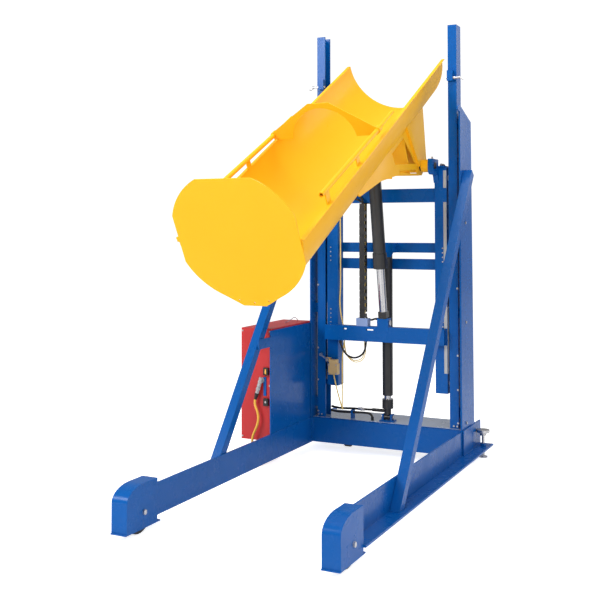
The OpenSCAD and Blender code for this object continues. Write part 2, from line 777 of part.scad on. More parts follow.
module carriage_bolts() {
  color([0.7, 0.7, 0.72]) place() for (side = [-1, 1]) {
    for (z = [roller_low, roller_high]) {
      x_cyl(side, stud_r + 8, upright_out, upright_out + 5, mast_mid, z);
      x_cyl(side, stud_r, upright_out + 5, mast_in + 3 + roller_w + 1, mast_mid, z);
      x_cyl(side, stud_r + 4, mast_in + 3 + roller_w + gap, mast_in + 3 + roller_w + 2.3, mast_mid, z);
    }
    for (y = [14, 58]) translate([side * (upright_in + 40), y, upright_top + 8]) {
      cylinder(r = 11, h = 10, $fn = 6);
      cylinder(r = 6, h = 16);
    }
    translate([side * (bearing_in + bearing_t / 2), pivot_y, pivot_z + 40]) cylinder(r = 5, h = 14);
    for (low = [front_bar_top + 13, 1190]) for (i = [0:3])
      translate([side * (upright_in + 49), 0, low + 27 * i]) rotate([90, 0, 0]) cylinder(r = 4, h = 4);
  }
}

module roller(side, z) {
  color([0.35, 0.35, 0.37]) place() difference() {
    x_cyl(side, roller_r, roller_mid - roller_w / 2, roller_mid + roller_w / 2, mast_mid, z);
    x_cyl(side, stud_r + run, roller_mid - roller_w, roller_mid + roller_w, mast_mid, z);
  }
}

module upper_left_roller() {
  roller(-1, roller_high);
}

module upper_right_roller() {
  roller(1, roller_high);
}

module lower_left_roller() {
  roller(-1, roller_low);
}

module lower_right_roller() {
  roller(1, roller_low);
}

module pivot_bearings() {
  color([0.05, 0.16, 0.55]) place() for (side = [-1, 1]) difference() {
    union() {
      yz_plate(side, bearing_in, bearing_in + bearing_t, concat([[0, pivot_z - 100], [0, pivot_z + 40],
        [pivot_y - 40, pivot_z + 40]], arc_pts(pivot_y - 10, pivot_z - 22, 30, 30, 180, 270, 6),
        [[-20, pivot_z - 52]]));
      slab(side, bearing_in, upright_out - 6, -8, mast_size - 8, upright_top, upright_top + 8);
    }
    x_cyl(side, shaft_r + run, bearing_in - 1, bearing_in + bearing_t + 1, pivot_y, pivot_z);
  }
}

module lift_barrel() {
  color([0.06, 0.06, 0.06]) place() difference() {
    union() {
      translate([0, lift_y, lift_low]) cylinder(r = lift_d / 2, h = lift_high - lift_low);
      translate([0, lift_y, lift_low - 15]) cylinder(r = lift_d / 2, h = 15);
    }
    translate([0, lift_y, lift_low + 30]) cylinder(r = lift_in, h = lift_high - lift_low - 42);
    translate([0, lift_y, lift_low - 16]) cylinder(r = lift_rod_d / 2 + run, h = 50);
  }
}

module clevis_pin() {
  color([0.6, 0.6, 0.62]) place() {
    x_cyl(1, pin_d / 2, -clevis_in - 14, clevis_in + 14, clevis_y, clevis_z);
    for (side = [-1, 1])
      x_cyl(side, pin_d / 2 + 4, clevis_in + 10 + gap, clevis_in + 15, clevis_y, clevis_z);
  }
}

module hose_track() {
  bars = floor((track_top - track_bottom) / track_pitch);
  color([0.07, 0.07, 0.07]) place() {
    for (flank = [[track_front, track_bottom], [track_front + track_d - 5, track_bottom + 2 * track_pitch]])
      translate([track_x - track_w / 2, flank[0], flank[1]]) cube([track_w, 5, track_top - flank[1]]);
    for (i = [0:bars - 1]) for (x = [track_x - track_w / 2, track_x + track_w / 2 - 4])
      translate([x, track_front + 4, track_bottom + track_pitch * (i + 0.3)]) cube([4, track_d - 8, 20]);
    difference() {
      translate([track_x - 37, -front_bar_d, front_bar_top]) cube([75, 50, 48]);
      translate([track_x - 32, 5 - front_bar_d, front_bar_top - 1]) cube([65, 50, 50]);
    }
    translate([track_x - 20, 0, top_bar_z - 5]) cube([40, 44, 5]);
  }
}

module carriage_hoses() {
  color([0.06, 0.06, 0.06]) place() {
    hose(carriage_hose_a, 6, m = 5);
    hose(carriage_hose_b, 6, m = 5);
    translate([-60, -8, hose_lug_z]) rotate([0, 90, 0]) cylinder(r = 7.5, h = 60 - clevis_in - 10 - seat);
    translate([-290, -20, 676]) cylinder(r = 9, h = front_bar_z - 676);
    for (z = [1578, 1598]) translate([1 - upright_in, -14, z]) rotate([0, 90, 0]) cylinder(r = 8, h = 14);
  }
}

module signal_cable() {
  color([0.95, 0.8, 0.3]) place() hose(cable_route, 4, m = 5, sides = 8);
}

module limit_switch() {
  color([0.78, 0.68, 0.48]) place() {
    translate([switch_x - 30, -40, switch_z]) cube([61, 40, 66]);
    translate([switch_x - 24, -38, switch_z + 66]) cube([48, 38, 25]);
    translate([lever_x - 12, -lever_face, lever_z - 12]) cube([30, lever_face - 4, 24]);
    translate([lever_x, -lever_face - 12, lever_z]) rotate([-90, 0, 0]) cylinder(r = 4, h = 14);
  }
}

module limit_lever() {
  color([0.75, 0.75, 0.77]) place() translate([lever_x, -lever_face - gap, lever_z]) rotate([90, 32, 0])
    difference() {
      union() {
        cylinder(r = 10, h = 9);
        translate([-58, -5, 2]) cube([58, 10, 4]);
        translate([-55, 0, gap - 18]) cylinder(r = 9, h = 24);
      }
      translate([0, 0, -1]) cylinder(r = 4 + run, h = 12);
    }
}

module trough() {
  color([0.98, 0.72, 0.1]) place() chute_frame() difference() {
    union() {
      rotate([-90, 0, 0]) cylinder(r = chute_out, h = chute_length, $fn = 128);
      for (side = [-1, 1]) slab(side, chute_r + 1, chute_out + lip_w, 0, chute_length, -chute_sheet, 0);
    }
    translate([0, -1, 0]) rotate([-90, 0, 0]) cylinder(r = chute_r, h = chute_length + 2, $fn = 128);
    translate([-chute_out - 1, -1, 0]) cube([2 * chute_out + 2, chute_length + 2, chute_out + 1]);
  }
}

module bottom_plate() {
  edge = chute_r + 1;
  disc = chute_r + 23;
  low = chute_r + 41;
  color([0.98, 0.72, 0.1]) place() chute_frame() difference() {
    translate([0, -bottom_t, 0]) union() {
      intersection() {
        rotate([-90, 0, 0]) cylinder(r = disc, h = bottom_t, $fn = 128);
        translate([-edge, -1, -disc]) cube([2 * edge, bottom_t + 2, disc + chute_r - 8]);
      }
      rotate([90, 0, 0]) translate([0, 0, -bottom_t]) linear_extrude(bottom_t)
        polygon([[-58, -low], [58, -low], [160, 0.1 - disc * 0.87], [160, -200], [-160, -200],
        [-160, 0.1 - disc * 0.87]]);
      translate([-edge - 12, 0, -14]) cube([20, bottom_t, 24]);
    }
    for (x = [-76, 0, 76]) translate([x, -bottom_t - 1, -low + 18 + (x == 0 ? -2 : 10)]) rotate([-90, 0, 0])
      cylinder(r = 4, h = bottom_t + 2);
  }
}

module guard_rails() {
  color([0.98, 0.72, 0.1]) place() chute_frame() for (side = [-1, 1]) {
    difference() {
      union() {
        translate([side * rail_x, rail_low_s, rail_low_n]) rotate([rail_dip - 90, 0, 0])
          cylinder(d = rail_d, h = rail_run);
        for (s = [320, 728]) translate([side > 0 ? chute_out - 7 : -chute_out + 1, s, seat])
          cube([6, 40, rail_low_n - 10 - (s - rail_low_s) * (rail_low_n - rail_n) / (rail_end - rail_low_s)]);
      }
      translate([side * rail_x, rail_low_s, rail_low_n]) rotate([rail_dip - 90, 0, 0]) translate([0, 0, -1])
        cylinder(d = rail_d - 8, h = rail_run - 40);
    }
    translate([side * rail_x, rail_end - 1, rail_n]) rotate([-90, 0, 0]) cylinder(r = rod_r, h = 260);
    translate([side * rail_x, rail_end + 259, rail_n]) sphere(r = rod_r, $fn = 32);
  }
}

module retainer() {
  color([0.98, 0.72, 0.1]) place() chute_frame() difference() {
    union() {
      translate([0, ring_s, 0]) rotate([90, 0, 0]) translate([0, 0, -retainer_t]) linear_extrude(retainer_t)
        polygon([[-rail_x, 20], [-rail_x, 62], [-150, 158], [-60, 214], [60, 214], [150, 158], [rail_x, 62],
          [rail_x, 20]]);
      for (side = [-1, 1]) translate([side * rail_x, ring_s, rail_n]) rotate([-90, 0, 0])
        cylinder(r = 18, h = 34);
    }
    translate([0, ring_s - 1, 0]) rotate([-90, 0, 0]) cylinder(r = 185, h = retainer_t + 2, $fn = 96);
    for (side = [-1, 1]) translate([side * rail_x, ring_s - 1, rail_n]) rotate([-90, 0, 0])
      cylinder(r = rod_r + run, h = 40);
  }
}

module tilt_frame() {
  deep = -pivot_depth;
  in = gusset_x - gusset_t / 2;
  out = gusset_x + gusset_t / 2;
  web_in = 72;
  color([0.98, 0.72, 0.1]) place() chute_frame() {
    difference() {
      union() {
        for (side = [-1, 1]) {
          yz_plate(side, in, out, [[760, -150], [799, -200], [1096, -260], [1317, -335],
            [pivot_s - 6, deep - 59], [pivot_s + 26, deep - 54], [pivot_s + 120, deep - 13], [1945, -195],
            [1945, -150]]);
          yz_plate(side, out, out + 16, [[1575, -120], [1620, -120], [pivot_s - 14, deep + 50],
            [pivot_s - 50, deep + 20]]);
          yz_plate(side, in - 20, in, [[1317, -335], [pivot_s - 46, deep - 41], [pivot_s - 46, deep - 34],
            [1317, -328]]);
          slab(side, web_in, in, 1560, 1566, -440, -320);
          slab(side, web_in, in, 1700, 1706, -498, -150);
          yz_plate(side, out, out + 3, [[760, -150], [799, -200], [1096, -260], [1317, -335], [1330, -338],
            [1262, -150]]);
        }
        slab(1, -in, in, 1275, 1281, -333, -150);
        slab(1, -in, in, 1560, 1566, -330, -150);
      }
      translate([0, 700, 0]) rotate([-90, 0, 0]) cylinder(r = chute_out + seat, h = 1300, $fn = 128);
      for (side = [-1, 1]) {
        yz_plate(side, in - 1, out + 1, [[1330, -205], [1545, -205], [1662, -420], [1345, -280]]);
        yz_plate(side, in - 1, out + 1, [[1390, -338], [1655, -458], [1662, -484], [1384, -352]]);
        x_cyl(side, shaft_r + seat, in - 1, out + 1, pivot_s, deep);
      }
    }
    for (side = [-1, 1]) {
      difference() {
        union() {
          yz_plate(side, cheek_in, cheek_in + cheek_t, [[1560, -250], [1590, -455], [1620, -475],
            [1650, -475], [1680, -450], [1705, -250]]);
          x_cyl(side, pin_d, cheek_in + cheek_t, cheek_in + cheek_t + 8, top_pin_s, top_pin_n);
        }
        translate([0, 1400, 0]) rotate([-90, 0, 0]) cylinder(r = chute_out + seat, h = 400, $fn = 128);
      }
      difference() {
        x_cyl(side, shaft_r + 18, out + 12, hub_end, pivot_s, deep);
        x_cyl(side, shaft_r + seat, out, hub_end + 1, pivot_s, deep);
      }
    }
  }
}

module pivot_shafts() {
  color([0.12, 0.12, 0.13]) place() for (side = [-1, 1]) {
    x_cyl(side, shaft_r, gusset_x - 15, bearing_in + bearing_t + 6, pivot_y, pivot_z);
    x_cyl(side, shaft_r + 9, gusset_x + gusset_t / 2, gusset_x + gusset_t / 2 + 12, pivot_y, pivot_z);
  }
}

module dump_rod() {
  color([0.8, 0.8, 0.82]) place() dump_frame() {
    difference() {
      union() {
        x_cyl(1, eye_r, -25, 25, 0, 0);
        translate([0, 0, eye_r - 6]) cylinder(r = 18, h = 20);
      }
      x_cyl(1, pin_d / 2 + run, -26, 26, 0, 0);
    }
    translate([0, 0, eye_r + 12]) cylinder(d = dump_rod_d, h = gland_t + 150 - eye_r);
    translate([-25.5, -25.5, eye_r + 9]) cube([51, 51, 40]);
    translate([0, 0, gland_t + 162]) cylinder(r = dump_in - gap, h = 40);
  }
}

module dump_barrel() {
  color([0.06, 0.06, 0.06]) place() dump_frame() {
    difference() {
      union() {
        translate([0, 0, barrel_t]) cylinder(d = dump_d, h = barrel_end - barrel_t);
        translate([0, 0, barrel_t - gland_h]) cylinder(r = gland_r, h = gland_h);
        translate([0, 0, barrel_end - 1]) cylinder(r = 20, h = 20);
        x_cyl(1, pin_d, -30, 30, 0, dump_len);
      }
      translate([0, 0, barrel_t]) cylinder(r = dump_in, h = barrel_end - barrel_t - 12);
      translate([0, 0, barrel_t - gland_h - 1]) cylinder(r = dump_rod_d / 2 + run, h = gland_h + 2);
      x_cyl(1, pin_d / 2 + run, -31, 31, 0, dump_len);
    }
    for (t = [barrel_t + 40, barrel_end - 40]) translate([0, dump_d / 2 - 4, t]) rotate([-90, 0, 0])
      cylinder(r = 11, h = 16);
  }
}

module dump_top_pin() {
  color([0.6, 0.6, 0.62]) place() dump_frame() {
    x_cyl(1, pin_d / 2, gap - cheek_in, cheek_in - gap, 0, dump_len);
    for (side = [-1, 1]) x_cyl(side, pin_d / 2 + 5, 30 + gap, cheek_in - gap, 0, dump_len);
  }
}

module base_bolts() {
  color([0.7, 0.7, 0.72]) place() {
    x_cyl(1, 10, -39.5, 39.5, lift_y, lift_pin_z);
    for (side = [-1, 1]) {
      x_cyl(side, 13, 32 + gap, 39.5, lift_y, lift_pin_z);
      for (z = [deck_top + 30, deck_top + 620, deck_top + 1210])
        x_hex(side, 9, web_outer, web_outer + 7, mast_mid, z);
      for (x = [mast_in + 25, mast_out - 8]) translate([side * x, 0, deck_top + 14]) rotate([90, 0, 0])
        cylinder(r = 6, h = 6, $fn = 6);
    }
  }
}

left_leg();
right_leg();
toe_guards();
left_toe_wheel();
right_toe_wheel();
toe_axles();
front_cross_member();
rear_cross_member();
deck_plate();
left_mast();
right_mast();
side_plates();
left_strut();
right_strut();
side_panel();
power_box();
box_cover();
upper_latch();
lower_latch();
pump_unit();
cord_grip();
power_cord();
lid_wire();
left_caster_fork();
right_caster_fork();
left_caster_wheel();
right_caster_wheel();
left_floor_lock();
right_floor_lock();
left_stop_pin();
right_stop_pin();
lift_foot();
lift_rod();
base_hoses();
left_upright();
right_upright();
carriage_crossbars();
carriage_bolts();
upper_left_roller();
upper_right_roller();
lower_left_roller();
lower_right_roller();
pivot_bearings();
lift_barrel();
clevis_pin();
hose_track();
carriage_hoses();
signal_cable();
limit_switch();
limit_lever();
trough();
bottom_plate();
guard_rails();
retainer();
tilt_frame();
pivot_shafts();
dump_rod();
dump_barrel();
dump_top_pin();
base_bolts();
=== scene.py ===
# Tipper scene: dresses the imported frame, adds small trim, sets the studio and the camera.
import json
import math
import bmesh
import bpy
from mathutils import Matrix, Vector


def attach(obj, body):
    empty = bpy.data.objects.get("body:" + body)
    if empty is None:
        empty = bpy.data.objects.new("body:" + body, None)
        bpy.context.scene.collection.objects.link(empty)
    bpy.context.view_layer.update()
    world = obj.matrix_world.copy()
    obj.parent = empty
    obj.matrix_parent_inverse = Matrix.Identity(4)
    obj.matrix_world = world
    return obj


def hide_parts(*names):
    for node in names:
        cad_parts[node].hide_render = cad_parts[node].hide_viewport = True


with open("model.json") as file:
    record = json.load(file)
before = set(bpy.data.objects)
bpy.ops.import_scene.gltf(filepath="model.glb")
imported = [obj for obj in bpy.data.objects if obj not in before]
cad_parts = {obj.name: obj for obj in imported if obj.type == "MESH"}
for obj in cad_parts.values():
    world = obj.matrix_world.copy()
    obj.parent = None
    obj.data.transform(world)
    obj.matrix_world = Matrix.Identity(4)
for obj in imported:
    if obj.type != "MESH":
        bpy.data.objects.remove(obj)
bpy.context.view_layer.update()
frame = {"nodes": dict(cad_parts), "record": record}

bodyOf = {node: body for body, nodes in frame["record"]["behaviour"]["bodies"].items() for node in nodes}
slotOf = {part["node"]: part["material_slot"] for part in frame["record"]["subparts"]}
millimetre = 0.001
placeOffset = Vector((0.0575, 0.817, 0.0))  # centre of the masts' front face in the frame
bothSides = (-1, 1)  # left and right of the centre plane

# the chute at rest: its slope, and its pivot along the chute, below the rims and on the machine
chuteSlope = {"tilt": 28.5, "pivotS": 1735, "pivotDepth": 471, "pivotY": -72, "pivotZ": 1760}


def at(x, y, z):  # millimetres from the mast face on the centre plane, to the frame
    return Vector((x, y, z)) * millimetre + placeOffset


def onChute(x, s, n):  # millimetres across, along and above the chute's rims, to the frame
    c = chuteSlope
    turn = Matrix.Rotation(math.radians(c["tilt"]), 3, "X")
    fromPivot = turn @ Vector((x, s - c["pivotS"], n + c["pivotDepth"]))
    return at(0, c["pivotY"], c["pivotZ"]) + fromPivot * millimetre


def linkObject(name, data):
    thing = bpy.data.objects.new(name, data)
    bpy.context.scene.collection.objects.link(thing)
    return thing


# camera first, fitted to the photograph's perspective
cameraView = {"place": (2.1482, -4.6966, 1.397), "yaw": 25.9, "pitch": 1.96, "roll": 0.06, "lens": 57.54,
              "shiftX": 0.0018, "shiftY": -0.176, "sensor": 36, "clipEnd": 60}


def makeCamera(v):
    data = bpy.data.cameras.new("studioCamera")
    data.sensor_width = v["sensor"]
    data.lens = v["lens"]
    data.shift_x, data.shift_y = v["shiftX"], v["shiftY"]
    data.clip_end = v["clipEnd"]
    camera = linkObject("studioCamera", data)
    camera.location = v["place"]
    camera.rotation_euler = (math.radians(90 + v["pitch"]), math.radians(v["roll"]), math.radians(v["yaw"]))
    bpy.context.scene.camera = camera


makeCamera(cameraView)
print("camera set")

# shader groups, built once and placed in each material with its own values
colorSocket, numberSocket = "NodeSocketColor", "NodeSocketFloat"
skinOutputs = [("Color", colorSocket), ("Roughness", numberSocket), ("Height", numberSocket)]


def newGroup(name, inputs):
    tree = bpy.data.node_groups.new(name, "ShaderNodeTree")
    for label, kind, value in inputs:
        tree.interface.new_socket(name=label, in_out="INPUT", socket_type=kind).default_value = value
    for label, kind in skinOutputs:
        tree.interface.new_socket(name=label, in_out="OUTPUT", socket_type=kind)
    return tree, tree.nodes.new("NodeGroupInput"), tree.nodes.new("NodeGroupOutput")


def setOrLink(tree, socket, value):  # a value is a constant or another node's output
    if hasattr(value, "is_linked"):
        tree.links.new(value, socket)
    else:
        socket.default_value = value


def noiseNode(tree, scale, detail, rough):
    coord = tree.nodes.new("ShaderNodeTexCoord")
    noise = tree.nodes.new("ShaderNodeTexNoise")
    noise.inputs["Detail"].default_value = detail
    noise.inputs["Roughness"].default_value = rough
    tree.links.new(coord.outputs["Object"], noise.inputs["Vector"])
    setOrLink(tree, noise.inputs["Scale"], scale)
    return noise.outputs["Fac"]


def rangeNode(tree, source, low, high, toLow, toHigh):
    node = tree.nodes.new("ShaderNodeMapRange")
    node.inputs["From Min"].default_value = low
    node.inputs["From Max"].default_value = high
    node.inputs["To Min"].default_value = toLow
    node.inputs["To Max"].default_value = toHigh
    tree.links.new(source, node.inputs["Value"])
    return node.outputs["Result"]


def mathNode(tree, kind, a, b):
    node = tree.nodes.new("ShaderNodeMath")
    node.operation = kind
    for socket, value in zip(node.inputs, (a, b)):
        setOrLink(tree, socket, value)
    return node.outputs[0]


def mixColor(tree, factor, a, b):
    node = tree.nodes.new("ShaderNodeMix")
    node.data_type = "RGBA"
    for socket, value in zip((node.inputs[0], node.inputs[6], node.inputs[7]), (factor, a, b)):
        setOrLink(tree, socket, value)
    return node.outputs[2]


# noises are scale, detail and roughness; ranges are from low and high to low and high
paintTexture = {"mottle": (5, 0.55), "mottleRange": (0.35, 0.7, 0.0, 0.55),
                "chips": (55, 6, 0.7), "chipRange": (0.42, 0.6, 0.0, 1.0), "chipDepth": 0.3,
                "specks": (14, 8, 0.75), "speckRange": (0.45, 0.75, 0.0, 1.0),
                "dustHeight": 0.45, "dustTint": (0.42, 0.40, 0.37, 1), "dustRough": 0.5,
                "smudges": (6, 6, 0.65), "smudgeRange": (0.3, 0.75, -0.03, 0.14),
                "peel": (260, 2, 0.5), "peelHeight": 0.12, "waves": (18, 2, 0.5)}


def paintGroup(t):
    tree, into, out = newGroup("paintSkin", [
        ("Paint", colorSocket, (0.5, 0.5, 0.5, 1)), ("Shade", colorSocket, (0.3, 0.3, 0.3, 1)),
        ("Wear", colorSocket, (0.6, 0.6, 0.6, 1)), ("Mottle Scale", numberSocket, 3.0),
        ("Gloss", numberSocket, 0.3), ("Wear Amount", numberSocket, 0.4), ("Dust", numberSocket, 0.3)])
    mottle = noiseNode(tree, into.outputs["Mottle Scale"], *t["mottle"])
    mottle = rangeNode(tree, mottle, *t["mottleRange"])
    tone = mixColor(tree, mottle, into.outputs["Paint"], into.outputs["Shade"])
    edge = tree.nodes.new("ShaderNodeAttribute")
    edge.attribute_name = "edge"
    chipped = rangeNode(tree, noiseNode(tree, *t["chips"]), *t["chipRange"])
    # bevelled edges get a lighter tint of the same paint where the chip noise allows: partly edge wear,
    # partly a painted edge highlight
    edgeWearAndSheen = mathNode(tree, "MULTIPLY", mathNode(tree, "MULTIPLY", edge.outputs["Fac"], chipped),
                    into.outputs["Wear Amount"])
    tone = mixColor(tree, edgeWearAndSheen, tone, into.outputs["Wear"])
    coord = tree.nodes.new("ShaderNodeTexCoord")
    parts = tree.nodes.new("ShaderNodeSeparateXYZ")
    tree.links.new(coord.outputs["Object"], parts.inputs[0])
    low = rangeNode(tree, parts.outputs["Z"], 0.0, t["dustHeight"], 1.0, 0.0)
    speck = rangeNode(tree, noiseNode(tree, *t["specks"]), *t["speckRange"])
    dusty = mathNode(tree, "MULTIPLY", mathNode(tree, "MULTIPLY", speck, low), into.outputs["Dust"])
    tree.links.new(mixColor(tree, dusty, tone, t["dustTint"]), out.inputs["Color"])
    smudge = rangeNode(tree, noiseNode(tree, *t["smudges"]), *t["smudgeRange"])
    rough = mathNode(tree, "ADD", into.outputs["Gloss"], smudge)
    rough = mathNode(tree, "ADD", rough, mathNode(tree, "MULTIPLY", dusty, t["dustRough"]))
    tree.links.new(rough, out.inputs["Roughness"])
    peel = mathNode(tree, "MULTIPLY", noiseNode(tree, *t["peel"]), t["peelHeight"])
    height = mathNode(tree, "ADD", peel, noiseNode(tree, *t["waves"]))
    height = mathNode(tree, "SUBTRACT", height, mathNode(tree, "MULTIPLY", edgeWearAndSheen, t["chipDepth"]))
    tree.links.new(height, out.inputs["Height"])
    return tree


metalTexture = {"spots": (20, 7, 0.7), "spotRange": (0.48, 0.7, 0.0, 1.0), "stainRough": 0.3,
                "stretch": (1, 1, 0.12), "grainRange": (0.3, 0.7, -0.06, 0.1)}


def metalGroup(t):
    tree, into, out = newGroup("turnedMetal", [
        ("Metal", colorSocket, (0.6, 0.6, 0.6, 1)), ("Stain", colorSocket, (0.3, 0.28, 0.25, 1)),
        ("Gloss", numberSocket, 0.3), ("Stain Amount", numberSocket, 0.3), ("Grain", numberSocket, 300.0)])
    spots = rangeNode(tree, noiseNode(tree, *t["spots"]), *t["spotRange"])
    mask = mathNode(tree, "MULTIPLY", spots, into.outputs["Stain Amount"])
    tree.links.new(mixColor(tree, mask, into.outputs["Metal"], into.outputs["Stain"]), out.inputs["Color"])
    coord = tree.nodes.new("ShaderNodeTexCoord")
    stretch = tree.nodes.new("ShaderNodeMapping")
    stretch.inputs["Scale"].default_value = t["stretch"]
    grain = tree.nodes.new("ShaderNodeTexNoise")
    tree.links.new(coord.outputs["Object"], stretch.inputs["Vector"])
    tree.links.new(stretch.outputs["Vector"], grain.inputs["Vector"])
    tree.links.new(into.outputs["Grain"], grain.inputs["Scale"])
    lines = rangeNode(tree, grain.outputs["Fac"], *t["grainRange"])
    rough = mathNode(tree, "ADD", mathNode(tree, "ADD", into.outputs["Gloss"], lines),
                     mathNode(tree, "MULTIPLY", mask, t["stainRough"]))
    tree.links.new(rough, out.inputs["Roughness"])
    tree.links.new(grain.outputs["Fac"], out.inputs["Height"])
    return tree


mouldedTexture = {"scuffs": (25, 8, 0.75), "scuffRange": (0.45, 0.72, 0.0, 1.0), "scuffRough": 0.25,
                  "grain": (3, 0.6)}


def mouldedGroup(t):
    tree, into, out = newGroup("mouldedSkin", [
        ("Tint", colorSocket, (0.05, 0.05, 0.05, 1)), ("Scuff", colorSocket, (0.2, 0.2, 0.2, 1)),
        ("Gloss", numberSocket, 0.5), ("Scuff Amount", numberSocket, 0.3), ("Grain", numberSocket, 350.0)])
    scuff = rangeNode(tree, noiseNode(tree, *t["scuffs"]), *t["scuffRange"])
    mask = mathNode(tree, "MULTIPLY", scuff, into.outputs["Scuff Amount"])
    tree.links.new(mixColor(tree, mask, into.outputs["Tint"], into.outputs["Scuff"]), out.inputs["Color"])
    rough = mathNode(tree, "ADD", into.outputs["Gloss"], mathNode(tree, "MULTIPLY", mask, t["scuffRough"]))
    tree.links.new(rough, out.inputs["Roughness"])
    tree.links.new(noiseNode(tree, into.outputs["Grain"], *t["grain"]), out.inputs["Height"])
    return tree


groups = {"paintSkin": paintGroup(paintTexture), "turnedMetal": metalGroup(metalTexture),
          "mouldedSkin": mouldedGroup(mouldedTexture)}
print("shader groups built")

# each finish: its group, the group's values, and what the surface does beyond the plain one
plainSurface = {"metal": 0.0, "coat": 0.0, "coatRough": 0.12, "specular": 0.4, "bumpDepth": 0.002}
finishes = {
    "bluePaint": ("paintSkin", {
        "Paint": (0.0008, 0.098, 0.39, 1), "Shade": (0.0008, 0.076, 0.31, 1), "Wear": (0.03, 0.16, 0.44, 1),
        "Mottle Scale": 1.6, "Gloss": 0.22, "Wear Amount": 0.3, "Dust": 0.02},
        {"coat": 0.10, "bump": 0.008, "specular": 0.13}),
    "yellowPaint": ("paintSkin", {
        "Paint": (0.95, 0.50, 0.016, 1), "Shade": (0.92, 0.45, 0.010, 1), "Wear": (0.95, 0.62, 0.14, 1),
        "Mottle Scale": 1.4, "Gloss": 0.30, "Wear Amount": 0.25, "Dust": 0.0},
        {"coat": 0.05, "bump": 0.010, "specular": 0.10}),
    # a paler blue that paints the sky's sheen onto blue paint: painted reflection
    "paleBlue": ("paintSkin", {
        "Paint": (0.26, 0.36, 0.62, 1), "Shade": (0.20, 0.30, 0.56, 1), "Wear": (0.40, 0.50, 0.70, 1),
        "Mottle Scale": 4.0, "Gloss": 0.35, "Wear Amount": 0.35, "Dust": 0.1},
        {"bump": 0.03}),
    "redPaint": ("paintSkin", {
        "Paint": (0.56, 0.028, 0.030, 1), "Shade": (0.45, 0.018, 0.022, 1), "Wear": (0.70, 0.16, 0.14, 1),
        "Mottle Scale": 3.5, "Gloss": 0.38, "Wear Amount": 0.35, "Dust": 0.05},
        {"coat": 0.1, "bump": 0.04, "specular": 0.3}),
    "blackPaint": ("paintSkin", {
        "Paint": (0.012, 0.012, 0.013, 1), "Shade": (0.02, 0.02, 0.021, 1), "Wear": (0.16, 0.16, 0.17, 1),
        "Mottle Scale": 5.0, "Gloss": 0.34, "Wear Amount": 0.5, "Dust": 0.2},
        {"coat": 0.3, "bump": 0.05}),
    # a lighter blue for the deck's top: a painted sheen of the pale surroundings, over a real glossy coat
    "deckPaint": ("paintSkin", {
        "Paint": (0.26, 0.35, 0.52, 1), "Shade": (0.22, 0.31, 0.48, 1), "Wear": (0.30, 0.36, 0.48, 1),
        "Mottle Scale": 3.0, "Gloss": 0.18, "Wear Amount": 0.35, "Dust": 0.1},
        {"coat": 0.8, "bump": 0.01, "specular": 0.8}),
    "platedSteel": ("turnedMetal", {
        "Metal": (0.56, 0.56, 0.58, 1), "Stain": (0.34, 0.31, 0.27, 1), "Gloss": 0.32,
        "Stain Amount": 0.45, "Grain": 260.0},
        {"metal": 1.0, "bump": 0.06}),
    "chromeRod": ("turnedMetal", {
        "Metal": (0.52, 0.52, 0.53, 1), "Stain": (0.40, 0.39, 0.38, 1), "Gloss": 0.14,
        "Stain Amount": 0.15, "Grain": 420.0},
        {"metal": 1.0, "bump": 0.01}),
    "rollerSteel": ("turnedMetal", {
        "Metal": (0.36, 0.36, 0.38, 1), "Stain": (0.16, 0.14, 0.12, 1), "Gloss": 0.36,
        "Stain Amount": 0.6, "Grain": 200.0},
        {"metal": 1.0, "bump": 0.06}),
    "hoseRubber": ("mouldedSkin", {
        "Tint": (0.012, 0.012, 0.012, 1), "Scuff": (0.06, 0.06, 0.06, 1), "Gloss": 0.42,
        "Scuff Amount": 0.5, "Grain": 420.0},
        {"bump": 0.08}),
    "wheelBlack": ("mouldedSkin", {
        "Tint": (0.018, 0.018, 0.019, 1), "Scuff": (0.13, 0.12, 0.11, 1), "Gloss": 0.48,
        "Scuff Amount": 0.6, "Grain": 300.0},
        {"bump": 0.10}),
    "blackPlastic": ("mouldedSkin", {
        "Tint": (0.014, 0.014, 0.015, 1), "Scuff": (0.08, 0.08, 0.08, 1), "Gloss": 0.40,
        "Scuff Amount": 0.35, "Grain": 500.0},
        {"bump": 0.06}),
    "yellowJacket": ("mouldedSkin", {
        "Tint": (0.90, 0.50, 0.06, 1), "Scuff": (0.62, 0.38, 0.12, 1), "Gloss": 0.42,
        "Scuff Amount": 0.35, "Grain": 600.0},
        {"bump": 0.05}),
    "paleJacket": ("mouldedSkin", {
        "Tint": (0.92, 0.68, 0.20, 1), "Scuff": (0.70, 0.52, 0.20, 1), "Gloss": 0.42,
        "Scuff Amount": 0.25, "Grain": 600.0},
        {"bump": 0.04}),
    "beigeCase": ("mouldedSkin", {
        "Tint": (0.60, 0.43, 0.20, 1), "Scuff": (0.40, 0.30, 0.17, 1), "Gloss": 0.36,
        "Scuff Amount": 0.3, "Grain": 280.0},
        {"bump": 0.08}),
    "greyGrip": ("mouldedSkin", {
        "Tint": (0.42, 0.43, 0.44, 1), "Scuff": (0.25, 0.25, 0.26, 1), "Gloss": 0.40,
        "Scuff Amount": 0.3, "Grain": 320.0},
        {"bump": 0.08}),
}


